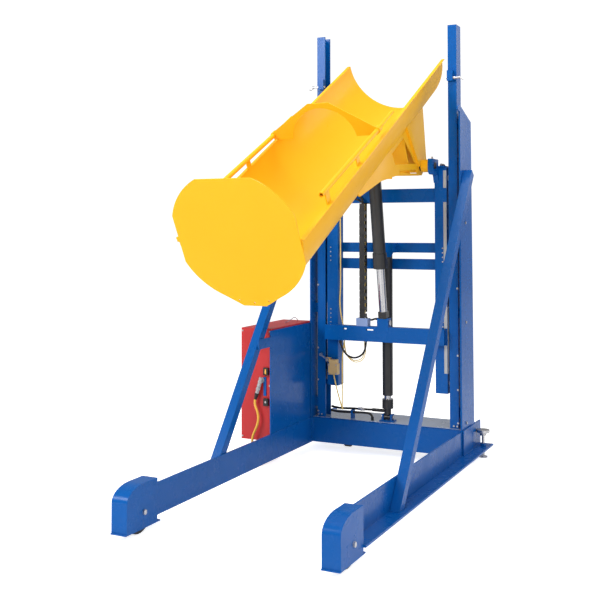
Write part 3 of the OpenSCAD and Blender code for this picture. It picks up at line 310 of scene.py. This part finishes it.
def makeFinish(name, kind, values, surface):
    s = {**plainSurface, **surface}
    material = bpy.data.materials.new(name)
    material.use_nodes = True
    tree = material.node_tree
    shader = tree.nodes["Principled BSDF"]
    skin = tree.nodes.new("ShaderNodeGroup")
    skin.node_tree = groups[kind]
    for label, value in values.items():
        skin.inputs[label].default_value = value
    bump = tree.nodes.new("ShaderNodeBump")
    bump.inputs["Strength"].default_value = s["bump"]
    bump.inputs["Distance"].default_value = s["bumpDepth"]
    tree.links.new(skin.outputs["Color"], shader.inputs["Base Color"])
    tree.links.new(skin.outputs["Roughness"], shader.inputs["Roughness"])
    tree.links.new(skin.outputs["Height"], bump.inputs["Height"])
    tree.links.new(bump.outputs["Normal"], shader.inputs["Normal"])
    shader.inputs["Metallic"].default_value = s["metal"]
    shader.inputs["Coat Weight"].default_value = s["coat"]
    shader.inputs["Coat Roughness"].default_value = s["coatRough"]
    shader.inputs["Specular IOR Level"].default_value = s["specular"]
    return material


materials = {name: makeFinish(name, *spec) for name, spec in finishes.items()}
finishOfSlot = {"blue_paint": "bluePaint", "yellow_paint": "yellowPaint", "red_paint": "redPaint",
                "black_paint": "blackPaint", "steel": "platedSteel", "chrome": "chromeRod",
                "grey_steel": "rollerSteel", "rubber": "hoseRubber", "wheel": "wheelBlack",
                "black_plastic": "blackPlastic", "yellow_cord": "yellowJacket", "beige": "beigeCase"}
slotOfFinish = {finish: slot for slot, finish in finishOfSlot.items()}
slotOfFinish.update({"greyGrip": "steel", "paleJacket": "yellow_cord"})
print("materials made")

# on every piece, edges sharper than so many degrees are rounded and marked for edge wear and a painted edge
# highlight
edgeWork = {"sharp": 28.0, "segments": 2, "profile": 0.6, "shadeSharp": 40, "normalWeight": 60}


def camel(node):
    first, *rest = node.split("_")
    return first + "".join(word.capitalize() for word in rest)


def addEdgeMark(bm, rounded):
    layer = bm.loops.layers.float_color.new("edge")
    for faces, mark in ((bm.faces, (0, 0, 0, 1)), (rounded, (1, 1, 1, 1))):
        for face in faces:
            for loop in face.loops:
                loop[layer] = mark


def finishMesh(bm, name, finish, bevel):
    e = edgeWork
    bm.normal_update()
    rounded = []
    edges = [edge for edge in bm.edges
             if len(edge.link_faces) == 2 and edge.calc_face_angle(0) > math.radians(e["sharp"])]
    if bevel > 0 and edges:
        rounded = bmesh.ops.bevel(bm, geom=edges, offset=bevel, segments=e["segments"], profile=e["profile"],
                                  affect="EDGES", clamp_overlap=True)["faces"]
    addEdgeMark(bm, rounded)
    mesh = bpy.data.meshes.new(name)
    bm.to_mesh(mesh)
    bm.free()
    mesh.materials.append(materials[finish])
    mesh.polygons.foreach_set("use_smooth", [True] * len(mesh.polygons))
    mesh.set_sharp_from_angle(angle=math.radians(e["shadeSharp"]))
    piece = linkObject(name, mesh)
    even = piece.modifiers.new("evenShade", "WEIGHTED_NORMAL")
    even.keep_sharp = True
    even.weight = e["normalWeight"]
    return piece


# every CAD node but two is dressed: its triangles are welded, its flat faces joined; bevels are in metres
dressing = {"weld": 0.00001, "flat": 0.6, "bevel": 0.0012, "handMade": {"power_cord", "cord_grip"},
            "bevels": {"trough": 0.0009, "bottom_plate": 0.0012, "guard_rails": 0.0008, "side_plates": 0.0015,
                       "left_leg": 0.0025, "right_leg": 0.0025, "toe_guards": 0.0012, "left_mast": 0.002,
                       "right_mast": 0.002, "left_strut": 0.004, "right_strut": 0.004, "left_upright": 0.004,
                       "right_upright": 0.004, "carriage_crossbars": 0.0018, "power_box": 0.003,
                       "box_cover": 0.0015, "limit_switch": 0.0025, "base_bolts": 0.0006,
                       "carriage_bolts": 0.0006, "hose_track": 0.0008, "lid_wire": 0.0, "signal_cable": 0.0,
                       "base_hoses": 0.0, "carriage_hoses": 0.0},
            "finishes": {"toe_axles": "platedSteel", "lift_foot": "bluePaint", "signal_cable": "paleJacket"}}


def dressNode(node, d):
    bm = bmesh.new()
    bm.from_mesh(frame["nodes"][node].data)
    bmesh.ops.remove_doubles(bm, verts=bm.verts, dist=d["weld"])
    bmesh.ops.dissolve_limit(bm, angle_limit=math.radians(d["flat"]), verts=bm.verts, edges=bm.edges)
    slot = slotOf[node]
    finish = d["finishes"].get(node, finishOfSlot[slot])
    piece = finishMesh(bm, camel(node), finish, d["bevels"].get(node, d["bevel"]))
    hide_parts(node)
    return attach(piece, bodyOf[node])


dressed = {node: dressNode(node, dressing) for node in frame["nodes"] if node not in dressing["handMade"]}
print("nodes dressed")

# some nodes carry a second finish on the faces whose middles lie in a box, in millimetres from the mast face
twoTone = {"lift_rod": ("blackPaint", (-60, -60, 0), (60, 120, 348.5)),
           "dump_rod": ("blackPaint", (-60, -120, 0), (60, 60, 886)),
           # the hose carrier's blue bracket is painted paler blue: a painted reflection of the sky
           "hose_track": ("paleBlue", (-180, -60, 780), (-90, 60, 841)),
           "base_hoses": ("bluePaint", (-237, 9, 212), (-223, 53, 266)),
           # the deck's top face gets the lighter blue: painted sheen
           "deck_plate": ("deckPaint", (-600, -100, 211), (600, 300, 216))}


def paintBox(piece, finish, low, high):
    piece.data.materials.append(materials[finish])
    low, high = at(*low), at(*high)
    for face in piece.data.polygons:
        if all(a < c < b for a, c, b in zip(low, face.center, high)):
            face.material_index = 1


for node, patch in twoTone.items():
    paintBox(dressed[node], *patch)
print("second finishes painted")

# small shapes for the trim, all in millimetres from the mast face


def boxShape(bm, low, high):
    for vert in bmesh.ops.create_cube(bm, size=1.0)["verts"]:
        vert.co = at(*[(a + b) / 2 + v * (b - a) for a, b, v in zip(low, high, vert.co)])


def ringVerts(bm, middle, side, other, radius, sides):
    turns = [math.tau * k / sides for k in range(sides)]
    return [bm.verts.new(at(*(middle + radius * (math.cos(a) * side + math.sin(a) * other)))) for a in turns]


def skinRings(bm, rings, closed=False):
    sides = len(rings[0])
    pairs = list(zip(rings, rings[1:])) + ([(rings[-1], rings[0])] if closed else [])
    for low, high in pairs:
        for k in range(sides):
            bm.faces.new((low[k], low[(k + 1) % sides], high[(k + 1) % sides], high[k]))
    if not closed:
        bm.faces.new(list(reversed(rings[0])))
        bm.faces.new(rings[-1])


def turnedShape(bm, start, toward, profile, sides=28):  # profile: pairs of distance and radius
    start, axis = Vector(start), Vector(toward).normalized()
    side = axis.orthogonal().normalized()
    other = axis.cross(side)
    skinRings(bm, [ringVerts(bm, start + axis * d, side, other, r, sides) for d, r in profile])


def tubeShape(bm, route, radius, sides=12, closed=False):
    route = [Vector(point) for point in route]
    before = [route[-1] if closed else route[0]] + route[:-1]
    after = route[1:] + [route[0] if closed else route[-1]]
    side = (after[0] - before[0]).orthogonal().normalized()
    rings = []
    for middle, last, following in zip(route, before, after):
        along = (following - last).normalized()
        side = (side - along * side.dot(along)).normalized()
        rings.append(ringVerts(bm, middle, side, along.cross(side), radius, sides))
    skinRings(bm, rings, closed)


def smoothRoute(points, steps):  # a curve through the points, with so many steps between two of them
    points = [Vector(point) for point in points]
    route = []
    for k in range(len(points) - 1):
        a, b, c, d = points[max(k - 1, 0)], points[k], points[k + 1], points[min(k + 2, len(points) - 1)]
        for j in range(steps):
            u = j / steps
            route.append(0.5 * (2 * b + (c - a) * u + (2 * a - 5 * b + 4 * c - d) * u * u
                                + (3 * b - a - 3 * c + d) * u ** 3))
    return route + [points[-1]]


def finishPiece(piece, rider):  # rider: the node whose body carries the piece
    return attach(piece, bodyOf[rider])


def addTrim(name, finish, rider, build, bevel=0.0006):
    bm = bmesh.new()
    build(bm)
    bmesh.ops.recalc_face_normals(bm, faces=bm.faces)
    return finishPiece(finishMesh(bm, name, finish, bevel), rider)


# the mains lead: down the door, over the leg and into a coil on the floor beside the box
mainsLead = {"radius": 7, "metres": 2.535, "curveSteps": 3, "roundness": 5,
             "coilRadius": 78, "coilX": -668, "coilY": -505, "turns": 4, "steps": 24,
             "pitch": 14.6, "lowest": 7.2, "bendRadius": 62, "bendY": -602, "bendLean": 2, "bendStep": 15,
             "drop": [(-570.7, -592, 435.8), (-579.1, -592, 408.3), (-583, -592.5, 393), (-583, -593, 376),
                      (-577, -594, 357), (-568, -595, 338), (-561, -596.5, 318), (-558.5, -598, 298),
                      (-560, -599, 276), (-566, -600, 252), (-576, -601, 228), (-587, -601.5, 205),
                      (-594, -602, 182), (-596, -602, 160), (-595, -602, 140)],
             "tail": [(-590, -480, 7.5), (-591, -450, 8.5), (-594, -420, 12), (-598, -396, 16.5),
                      (-600, -380, 18)]}

# what is fixed to the lead: profiles are pairs of distance along the axis and radius
leadEnds = {"boot": [(-2, 12.5), (5, 12.5), (7, 10.5), (10, 12.2), (12, 10.2), (15, 11.8), (17, 9.8),
                     (20, 11.2), (22, 9.3), (25, 10.4), (27, 8.8), (30, 9.4), (36, 8.0)],
            "grip": [(-8, 8), (-8, 12.5), (2, 12.5), (4, 10), (10, 10), (12, 13), (22, 13), (24, 10.5),
                     (32, 10.5), (34, 12), (46, 12), (48, 9.5), (53, 9.5), (55, 12.5), (66, 12.5), (68, 10.5),
                     (80, 10), (84, 11), (88, 10.5)],
            "gripTop": (-545, -592, 520), "gripLean": 17,
            "collar": [(0, 13), (4, 13), (4, 15), (14, 15)], "collarStart": (-545, -585, 512),
            "plug": [(0, 9), (3, 12), (10, 13.2), (12, 16.2), (34, 16.8), (40, 16.4), (42, 14.5)],
            "plugStart": (-600, -380.5, 18),
            "pin": [(0, 2.4), (11, 2.4), (13, 1.4)], "pinY": -339,
            "pinPlaces": ((-606, 22), (-594, 22), (-600, 11))}


def leadRoute(v):
    top = v["lowest"] + v["turns"] * v["pitch"]
    bend = []
    for degrees in range(0, 91, v["bendStep"]):
        a = math.radians(degrees)
        bend.append((v["coilX"] + v["coilRadius"] - v["bendLean"] * (1 - degrees / 90),
                     v["bendY"] + v["bendRadius"] * (1 - math.cos(a)),
                     top + v["bendRadius"] * (1 - math.sin(a))))
    coil = []
    for k in range(v["turns"] * v["steps"] + 1):
        a = math.tau * k / v["steps"]
        coil.append((v["coilX"] + v["coilRadius"] * math.cos(a), v["coilY"] + v["coilRadius"] * math.sin(a),
                     top - v["pitch"] * a / math.tau))
    lowered = smoothRoute(v["drop"] + bend, v["curveSteps"])[:-1]
    return lowered + coil + smoothRoute(v["tail"], v["curveSteps"])


def leadCurve(v, route):
    line = bpy.data.curves.new("mainsLead", "CURVE")
    line.dimensions = "3D"
    line.bevel_depth = v["radius"] * millimetre
    line.bevel_resolution = v["roundness"]
    line.use_fill_caps = True
    spline = line.splines.new("POLY")
    spline.points.add(len(route) - 1)
    for point, place in zip(spline.points, route):
        point.co = (*place, 1)
    spline.use_smooth = True
    line.materials.append(materials["yellowJacket"])
    return linkObject("mainsLead", line)


def bootShape(bm):
    first, second = (Vector(point) for point in mainsLead["drop"][:2])
    turnedShape(bm, first, second - first, leadEnds["boot"], sides=24)


def gripShape(bm):
    lean = math.radians(leadEnds["gripLean"])
    turnedShape(bm, leadEnds["gripTop"], (-math.sin(lean), 0, -math.cos(lean)), leadEnds["grip"], sides=32)
    turnedShape(bm, leadEnds["collarStart"], (0, 1, 0), leadEnds["collar"], sides=32)


def plugShape(bm):
    turnedShape(bm, leadEnds["plugStart"], (0, 1, 0), leadEnds["plug"], sides=32)


def pinShape(bm):
    for x, z in leadEnds["pinPlaces"]:
        turnedShape(bm, (x, leadEnds["pinY"], z), (0, 1, 0), leadEnds["pin"], sides=12)


def makeLead(v):
    route = [at(*point) for point in leadRoute(v)]
    lead = leadCurve(v, route)
    boot = addTrim("leadBoot", "blackPlastic", "power_cord", bootShape, bevel=0.0003)
    grip = addTrim("leadGrip", "greyGrip", "cord_grip", gripShape, bevel=0.0005)
    plug = addTrim("leadPlug", "blackPlastic", "power_cord", plugShape, bevel=0.0006)
    pins = addTrim("leadPlugPins", "platedSteel", "power_cord", pinShape, bevel=0.0003)
    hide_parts("cord_grip")
    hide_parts("power_cord")
    finishPiece(lead, "power_cord")


makeLead(mainsLead)
print("mains lead laid")

# thin cables: one inside the hose carrier and two slack loops under the front bar
cables = {"radius": 2.7, "steps": 6, "routes": {
    "carrierCable": [(-127, -20, 842), (-125, -18, 900), (-128, -22, 1000), (-125, -19, 1100),
                     (-128, -22, 1200), (-126, -18, 1300), (-128, -21, 1400), (-126, -19, 1500),
                     (-127, -20, 1541)],
    "slackLoopA": [(-279, 16, 690), (-277, 20, 650), (-264, 21, 604), (-216, 21, 570), (-166, 21, 586),
                   (-147, 21, 636), (-148, 20, 699)],
    "slackLoopB": [(-282, 17, 672), (-279, 23, 638), (-262, 25, 592), (-214, 25, 560), (-160, 25, 578),
                   (-141, 25, 634), (-143, 24, 699)]}}


def addCable(name, route):
    addTrim(name, "paleJacket", "carriage_crossbars",
            lambda bm: tubeShape(bm, smoothRoute(route, cables["steps"]), cables["radius"]), bevel=0.0)


for name, route in cables["routes"].items():
    addCable(name, route)
print("thin cables laid")

# flat strips on the uprights, the side plates and the masts; x is measured from the centre plane
strips = {
    "uprightWearStrips": {"finish": "greyGrip", "rider": "carriage_crossbars", "sides": bothSides,
                          "x": (390.2, 393.2), "y": (6, 54), "heights": [(530, 924)], "bevel": 0.0006},
    "rightGuideStrip": {"finish": "greyGrip", "rider": "right_upright", "sides": (1,),
                        "x": (370, 389), "y": (-1.2, 0.4),
                        "heights": [(530, 696), (796, 1546), (1630, 1735)], "bevel": 0.0006},
    "sideFeet": {"finish": "bluePaint", "rider": "side_plates", "sides": bothSides,
                 "x": (489.2, 499), "y": (-45, 160), "heights": [(67.3, 212)], "bevel": 0.0015},
    # light grey strips in the gap between mast and side plate: a painted highlight where the edge catches
    # light
    "mastEdgeStrips": {"finish": "greyGrip", "rider": "side_plates", "sides": bothSides,
                       "x": (460.5, 465.5), "y": (18, 23), "heights": [(312, 1055)], "bevel": 0.0006}}


def addStrip(name, s):
    def build(bm):
        for side in s["sides"]:
            left, right = sorted(side * x for x in s["x"])
            for bottom, top in s["heights"]:
                boxShape(bm, (left, s["y"][0], bottom), (right, s["y"][1], top))
    addTrim(name, s["finish"], s["rider"], build, s["bevel"])


for name, strip in strips.items():
    addStrip(name, strip)

# trim on the power box's door: a bar and a small tab
doorTrim = {"bar": ((-536, -577, 422), (-519, -570.8, 530)),
            "tab": ((-521, -589.5, 549), (-513, -586.7, 577))}
addTrim("doorBar", "bluePaint", "box_cover", lambda bm: boxShape(bm, *doorTrim["bar"]), bevel=0.001)
addTrim("latchTab", "yellowJacket", "upper_latch", lambda bm: boxShape(bm, *doorTrim["tab"]))

# a wire ring hangs from each stop pin
pinRing = {"x": 477, "y": -12.5, "z": 2283, "radius": 15, "wire": 1.8, "lean": 35, "steps": 28, "sides": 8}


def addPinRing(name, node, side):
    r, lean = pinRing, math.radians(pinRing["lean"])
    hook = []
    for k in range(r["steps"]):
        a = math.tau * k / r["steps"]
        hook.append((side * (r["x"] + r["radius"] * math.cos(lean) * (1 + math.cos(a))),
                     r["y"] + r["radius"] * math.sin(a),
                     r["z"] - r["radius"] * math.sin(lean) * (1 + math.cos(a))))
    addTrim(name, "platedSteel", node,
            lambda bm: tubeShape(bm, hook, r["wire"], r["sides"], closed=True), bevel=0.0)


addPinRing("pinRingLeft", "left_stop_pin", -1)
addPinRing("pinRingRight", "right_stop_pin", 1)

# a round key plate on each latch of the door
latchKeys = {"places": {"upper_latch": (-518, -586.5, 563), "lower_latch": (-518, -586.5, 387)},
             "profile": [(0, 6), (1.2, 6), (1.8, 5), (1.8, 2.4), (1.0, 2.2)]}


def addLatchKey(node, place):
    addTrim(camel(node) + "Key", "platedSteel", node,
            lambda bm: turnedShape(bm, place, (0, -1, 0), latchKeys["profile"]))


for node, place in latchKeys["places"].items():
    addLatchKey(node, place)
print("frame and door trim added")

# geometry trees: hex screws on points, weld beads along lines, link plates on points


def newTree(name, inputs):
    tree = bpy.data.node_groups.new(name, "GeometryNodeTree")
    tree.interface.new_socket(name="Geometry", in_out="INPUT", socket_type="NodeSocketGeometry")
    for label, kind, value in inputs:
        tree.interface.new_socket(name=label, in_out="INPUT", socket_type=kind).default_value = value
    tree.interface.new_socket(name="Finish", in_out="INPUT", socket_type="NodeSocketMaterial")
    tree.interface.new_socket(name="Geometry", in_out="OUTPUT", socket_type="NodeSocketGeometry")
    return tree, tree.nodes.new("NodeGroupInput"), tree.nodes.new("NodeGroupOutput")


def joinNodes(tree, parts):
    join = tree.nodes.new("GeometryNodeJoinGeometry")
    for part in parts:
        tree.links.new(part, join.inputs["Geometry"])
    return join.outputs["Geometry"]


def raisedCylinder(tree, sides, radius, depth, lift):
    tube = tree.nodes.new("GeometryNodeMeshCylinder")
    tube.inputs["Vertices"].default_value = sides
    tree.links.new(radius, tube.inputs["Radius"])
    tree.links.new(depth, tube.inputs["Depth"])
    place = tree.nodes.new("ShaderNodeCombineXYZ")
    tree.links.new(lift, place.inputs["Z"])
    move = tree.nodes.new("GeometryNodeTransform")
    tree.links.new(tube.outputs["Mesh"], move.inputs["Geometry"])
    tree.links.new(place.outputs["Vector"], move.inputs["Translation"])
    return move.outputs["Geometry"]


def instancesOn(tree, points, shape):
    place = tree.nodes.new("GeometryNodeInstanceOnPoints")
    tree.links.new(points, place.inputs["Points"])
    tree.links.new(shape, place.inputs["Instance"])
    return place


def endTree(tree, into, out, instances):
    real = tree.nodes.new("GeometryNodeRealizeInstances")
    tree.links.new(instances, real.inputs["Geometry"])
    paint = tree.nodes.new("GeometryNodeSetMaterial")
    tree.links.new(real.outputs["Geometry"], paint.inputs["Geometry"])
    tree.links.new(into.outputs["Finish"], paint.inputs["Material"])
    tree.links.new(paint.outputs["Geometry"], out.inputs["Geometry"])
    return tree


def facingNode(tree):
    facing = tree.nodes.new("GeometryNodeInputNamedAttribute")
    facing.data_type = "FLOAT_VECTOR"
    facing.inputs["Name"].default_value = "facing"
    turn = tree.nodes.new("FunctionNodeAlignRotationToVector")
    tree.links.new(facing.outputs["Attribute"], turn.inputs["Vector"])
    return turn.outputs["Rotation"]


# a hex head stands on a round washer and carries a low crown, whose sizes are shares of the head's
screwForm = {"washerSides": 20, "headSides": 6, "crownSides": 16, "crownWidth": 0.72, "crownHeight": 0.16}


def screwTree(f):
    tree, into, out = newTree("hexScrews", [
        ("Head Radius", numberSocket, 0.009), ("Head Height", numberSocket, 0.006),
        ("Washer Radius", numberSocket, 0.012), ("Washer Height", numberSocket, 0.002),
        ("Seed", "NodeSocketInt", 4)])
    headRadius, headHeight = into.outputs["Head Radius"], into.outputs["Head Height"]
    washerHeight = into.outputs["Washer Height"]
    washer = raisedCylinder(tree, f["washerSides"], into.outputs["Washer Radius"], washerHeight,
                            mathNode(tree, "MULTIPLY", washerHeight, 0.5))
    head = raisedCylinder(tree, f["headSides"], headRadius, headHeight,
                          mathNode(tree, "ADD", washerHeight, mathNode(tree, "MULTIPLY", headHeight, 0.5)))
    crown = raisedCylinder(tree, f["crownSides"], mathNode(tree, "MULTIPLY", headRadius, f["crownWidth"]),
                           mathNode(tree, "MULTIPLY", headHeight, f["crownHeight"]),
                           mathNode(tree, "ADD", washerHeight, headHeight))
    spin = tree.nodes.new("FunctionNodeRandomValue")
    spin.inputs["Max"].default_value = math.tau
    tree.links.new(into.outputs["Seed"], spin.inputs["Seed"])
    turn = tree.nodes.new("FunctionNodeAxisAngleToRotation")
    tree.links.new(spin.outputs[1], turn.inputs["Angle"])
    both = tree.nodes.new("FunctionNodeRotateRotation")
    both.rotation_space = "LOCAL"
    tree.links.new(facingNode(tree), both.inputs["Rotation"])
    tree.links.new(turn.outputs["Rotation"], both.inputs["Rotate By"])
    place = instancesOn(tree, into.outputs["Geometry"], joinNodes(tree, (washer, head, crown)))
    tree.links.new(both.outputs["Rotation"], place.inputs["Rotation"])
    return endTree(tree, into, out, place.outputs["Instances"])


beadSpread = (0.85, 1.15)  # the beads' sizes differ a little


def beadTree(spread):
    tree, into, out = newTree("weldBeads", [
        ("Bead Radius", numberSocket, 0.0035), ("Bead Step", numberSocket, 0.003),
        ("Seed", "NodeSocketInt", 2)])
    line = tree.nodes.new("GeometryNodeMeshToCurve")
    tree.links.new(into.outputs["Geometry"], line.inputs["Mesh"])
    even = tree.nodes.new("GeometryNodeResampleCurve")
    even.mode = "LENGTH"
    tree.links.new(line.outputs["Curve"], even.inputs["Curve"])
    tree.links.new(into.outputs["Bead Step"], even.inputs["Length"])
    drop = tree.nodes.new("GeometryNodeMeshIcoSphere")
    drop.inputs["Subdivisions"].default_value = 1
    tree.links.new(into.outputs["Bead Radius"], drop.inputs["Radius"])
    size = tree.nodes.new("FunctionNodeRandomValue")
    size.inputs[2].default_value, size.inputs[3].default_value = spread
    tree.links.new(into.outputs["Seed"], size.inputs["Seed"])
    place = instancesOn(tree, even.outputs["Curve"], drop.outputs["Mesh"])
    tree.links.new(size.outputs[1], place.inputs["Scale"])
    return endTree(tree, into, out, place.outputs["Instances"])


def linkTree():
    tree, into, out = newTree("carrierLinks", [
        ("Link Width", numberSocket, 0.034), ("Link Depth", numberSocket, 0.002),
        ("Link Height", numberSocket, 0.036)])
    plate = tree.nodes.new("GeometryNodeMeshCube")
    size = tree.nodes.new("ShaderNodeCombineXYZ")
    for label, axis in (("Link Width", "X"), ("Link Depth", "Y"), ("Link Height", "Z")):
        tree.links.new(into.outputs[label], size.inputs[axis])
    tree.links.new(size.outputs["Vector"], plate.inputs["Size"])
    place = instancesOn(tree, into.outputs["Geometry"], plate.outputs["Mesh"])
    return endTree(tree, into, out, place.outputs["Instances"])


trees = {"screws": screwTree(screwForm), "beads": beadTree(beadSpread), "links": linkTree()}


def growTrim(name, kind, values, finish, rider, points, edges=(), facing=None):  # points in the frame
    mesh = bpy.data.meshes.new(name + "Lines")
    mesh.from_pydata(points, list(edges), [])
    if facing:
        for item in mesh.attributes.new("facing", "FLOAT_VECTOR", "POINT").data:
            item.vector = facing
    source = linkObject(name + "Lines", mesh)
    grow = source.modifiers.new("grow", "NODES")
    grow.node_group = trees[kind]
    values = dict(values, Finish=materials[finish])
    for item in trees[kind].interface.items_tree:
        if item.in_out == "INPUT" and item.name in values:
            grow[item.identifier] = values[item.name]
    made = bpy.data.meshes.new_from_object(source.evaluated_get(bpy.context.evaluated_depsgraph_get()))
    made.name = name
    bpy.data.objects.remove(source)
    return finishPiece(linkObject(name, made), rider)


def polyLine(runs):
    points, edges = [], []
    for run in runs:
        edges += [(len(points) + k, len(points) + k + 1) for k in range(len(run) - 1)]
        points += run
    return points, edges


# weld beads where plates meet: x is mirrored to both sides, the panel's weld is on the left only
welds = {"bead": {"Bead Radius": 0.0034, "Bead Step": 0.0034},
         "frame": [((478.5, -26, 60), (478.5, -26, 206)), ((478.5, 66, 207.5), (478.5, 250, 207.5)),
                   ((541, -1249, 67.5), (541, -1187, 67.5)), ((491, -1250.5, 67.5), (539, -1250.5, 67.5)),
                   ((489.6, -44, 208), (489.6, 214, 208)), ((490.5, -1180, 68.5), (490.5, -48, 68.5)),
                   ((499.5, -44, 68.5), (499.5, 158, 68.5))],
         "panel": ((-481.6, -585, 207.6), (-481.6, -60, 207.6)),
         "carriage": [((314.5, -0.6, 702), (314.5, -0.6, 790)), ((314.5, -0.6, 1549), (314.5, -0.6, 1627))],
         "plateRadius": 311, "plateS": 1.5, "plateTurns": (182, 359, 4)}


def weldRun(run, side=1):
    return [at(side * x, y, z) for x, y, z in run]


def makeWelds(w):
    frameRuns = [weldRun(run, side) for run in w["frame"] for side in bothSides] + [weldRun(w["panel"])]
    carriageRuns = [weldRun(run, side) for side in bothSides for run in w["carriage"]]
    radius = w["plateRadius"]
    turns = [math.radians(degrees) for degrees in range(*w["plateTurns"])]
    plateRun = [onChute(radius * math.cos(a), w["plateS"], radius * math.sin(a)) for a in turns]
    growTrim("frameWelds", "beads", w["bead"], "bluePaint", "left_leg", *polyLine(frameRuns))
    growTrim("carriageWelds", "beads", w["bead"], "bluePaint", "carriage_crossbars", *polyLine(carriageRuns))
    growTrim("chuteWelds", "beads", w["bead"], "yellowPaint", "trough", *polyLine([plateRun]))


makeWelds(welds)

# small hex screws, all facing the front: on the masts, the door's edges and the switch
screws = {"mast": {"Head Radius": 0.0042, "Head Height": 0.003,
                   "Washer Radius": 0.0058, "Washer Height": 0.0010},
          "small": {"Head Radius": 0.0036, "Head Height": 0.0024,
                    "Washer Radius": 0.0052, "Washer Height": 0.0009},
          "mastX": 452, "mastY": -0.1, "mastHeights": (245, 440, 640, 1035),
          "doorX": (-676, -498), "doorY": -571.3, "doorHeights": (180, 480, 792),
          "switchX": (-361, -313), "switchY": -40.3, "switchHeights": (489, 543)}


def addScrews(name, size, rider, across, y, heights):
    points = [at(x, y, z) for x in across for z in heights]
    growTrim(name, "screws", screws[size], "platedSteel", rider, points, facing=(0, -1, 0))


def placeScrews(s):
    addScrews("leftMastScrews", "mast", "left_mast", (-s["mastX"],), s["mastY"], s["mastHeights"])
    addScrews("rightMastScrews", "mast", "right_mast", (s["mastX"],), s["mastY"], s["mastHeights"])
    addScrews("doorScrews", "small", "box_cover", s["doorX"], s["doorY"], s["doorHeights"])
    addScrews("switchScrews", "small", "limit_switch", s["switchX"], s["switchY"], s["switchHeights"])


placeScrews(screws)

# link plates on the front of the hose carrier
carrier = {"link": {"Link Width": 0.034, "Link Depth": 0.0024, "Link Height": 0.036},
           "x": -136, "y": -43.6, "bottom": 862, "pitch": 42, "count": 16}


def addLinks(c):
    points = [at(c["x"], c["y"], c["bottom"] + c["pitch"] * k) for k in range(c["count"])]
    growTrim("carrierLinks", "links", c["link"], "blackPlastic", "hose_track", points)


addLinks(carrier)
print("welds, screws and links grown")

# turned trim: the coupling in the deck's hose and the seal where the lift rod enters its barrel
fittings = {"hoseCoupling": {"finish": "platedSteel", "rider": "base_hoses", "sides": 24,
                             "start": (-196, 37.5, 271.3), "toward": (1, -0.08, 0.02),
                             "profile": [(0, 8.2), (3, 9.5), (16, 9.5), (18, 11), (26, 11), (28, 9.5),
                                         (42, 9.5), (45, 8.2)]},
            "liftSeal": {"finish": "rollerSteel", "rider": "lift_barrel", "sides": 32,
                         "start": (0, 34, 383), "toward": (0, 0, 1),
                         "profile": [(0, 26), (0, 31), (4, 31.5)]}}


def addFitting(name, f):
    addTrim(name, f["finish"], f["rider"],
            lambda bm: turnedShape(bm, f["start"], f["toward"], f["profile"], f["sides"]), bevel=0.0004)


for name, fitting in fittings.items():
    addFitting(name, fitting)
print("fittings added")

# studio: a white world that is dimmer as light than it looks, four soft lamps and a pale floor
studio = {"white": (1.0, 1.0, 1.0, 1), "worldLight": 0.36, "worldSeen": 1.1, "floorSize": 30.0,
          "floor": (0.86, 0.86, 0.86, 1), "floorRough": 0.9, "floorLight": 0.25, "floorSeen": 0.8,
          "lamps": {"keyLamp": ((-3.4, -4.6, 4.2), (0, 0, 1.1), 2.4, 262),
                    "fillLamp": ((4.6, -3.6, 3.0), (0, 0, 1.0), 2.4, 80),
                    "topLamp": ((0.3, -0.6, 5.4), (0, 0, 1.0), 3.0, 140),
                    "backLamp": ((2.6, 3.6, 2.8), (0, 0, 1.1), 2.4, 40)}}


def glowStrength(tree, light, seen):  # one strength for the light it gives, another for how bright it looks
    rays = tree.nodes.new("ShaderNodeLightPath")
    return rangeNode(tree, rays.outputs["Is Camera Ray"], 0.0, 1.0, light, seen)


def makeWorld(s):
    world = bpy.data.worlds.new("studioWorld")
    world.use_nodes = True
    back = world.node_tree.nodes["Background"]
    back.inputs["Color"].default_value = s["white"]
    strength = glowStrength(world.node_tree, s["worldLight"], s["worldSeen"])
    world.node_tree.links.new(strength, back.inputs["Strength"])
    bpy.context.scene.world = world


def makeFloor(s):
    mesh = bpy.data.meshes.new("studioFloor")
    half = s["floorSize"] / 2
    corners = [(-half, -half, 0), (half, -half, 0), (half, half, 0), (-half, half, 0)]
    mesh.from_pydata(corners, [], [(0, 1, 2, 3)])
    material = bpy.data.materials.new("floorPale")
    material.use_nodes = True
    shader = material.node_tree.nodes["Principled BSDF"]
    shader.inputs["Base Color"].default_value = s["floor"]
    shader.inputs["Roughness"].default_value = s["floorRough"]
    shader.inputs["Emission Color"].default_value = s["white"]
    glow = glowStrength(material.node_tree, s["floorLight"], s["floorSeen"])
    material.node_tree.links.new(glow, shader.inputs["Emission Strength"])
    mesh.materials.append(material)
    linkObject("studioFloor", mesh)


def makeLamp(name, place, target, size, power):
    data = bpy.data.lights.new(name, "AREA")
    data.shape = "SQUARE"
    data.size = size
    data.energy = power
    lamp = linkObject(name, data)
    lamp.location = place
    lamp.rotation_euler = (Vector(target) - Vector(place)).to_track_quat("-Z", "Y").to_euler()


makeWorld(studio)
makeFloor(studio)
for name, lamp in studio["lamps"].items():
    makeLamp(name, *lamp)
bpy.context.scene.view_settings.view_transform = "Standard"
bpy.context.scene.view_settings.look = "None"
print("studio set")
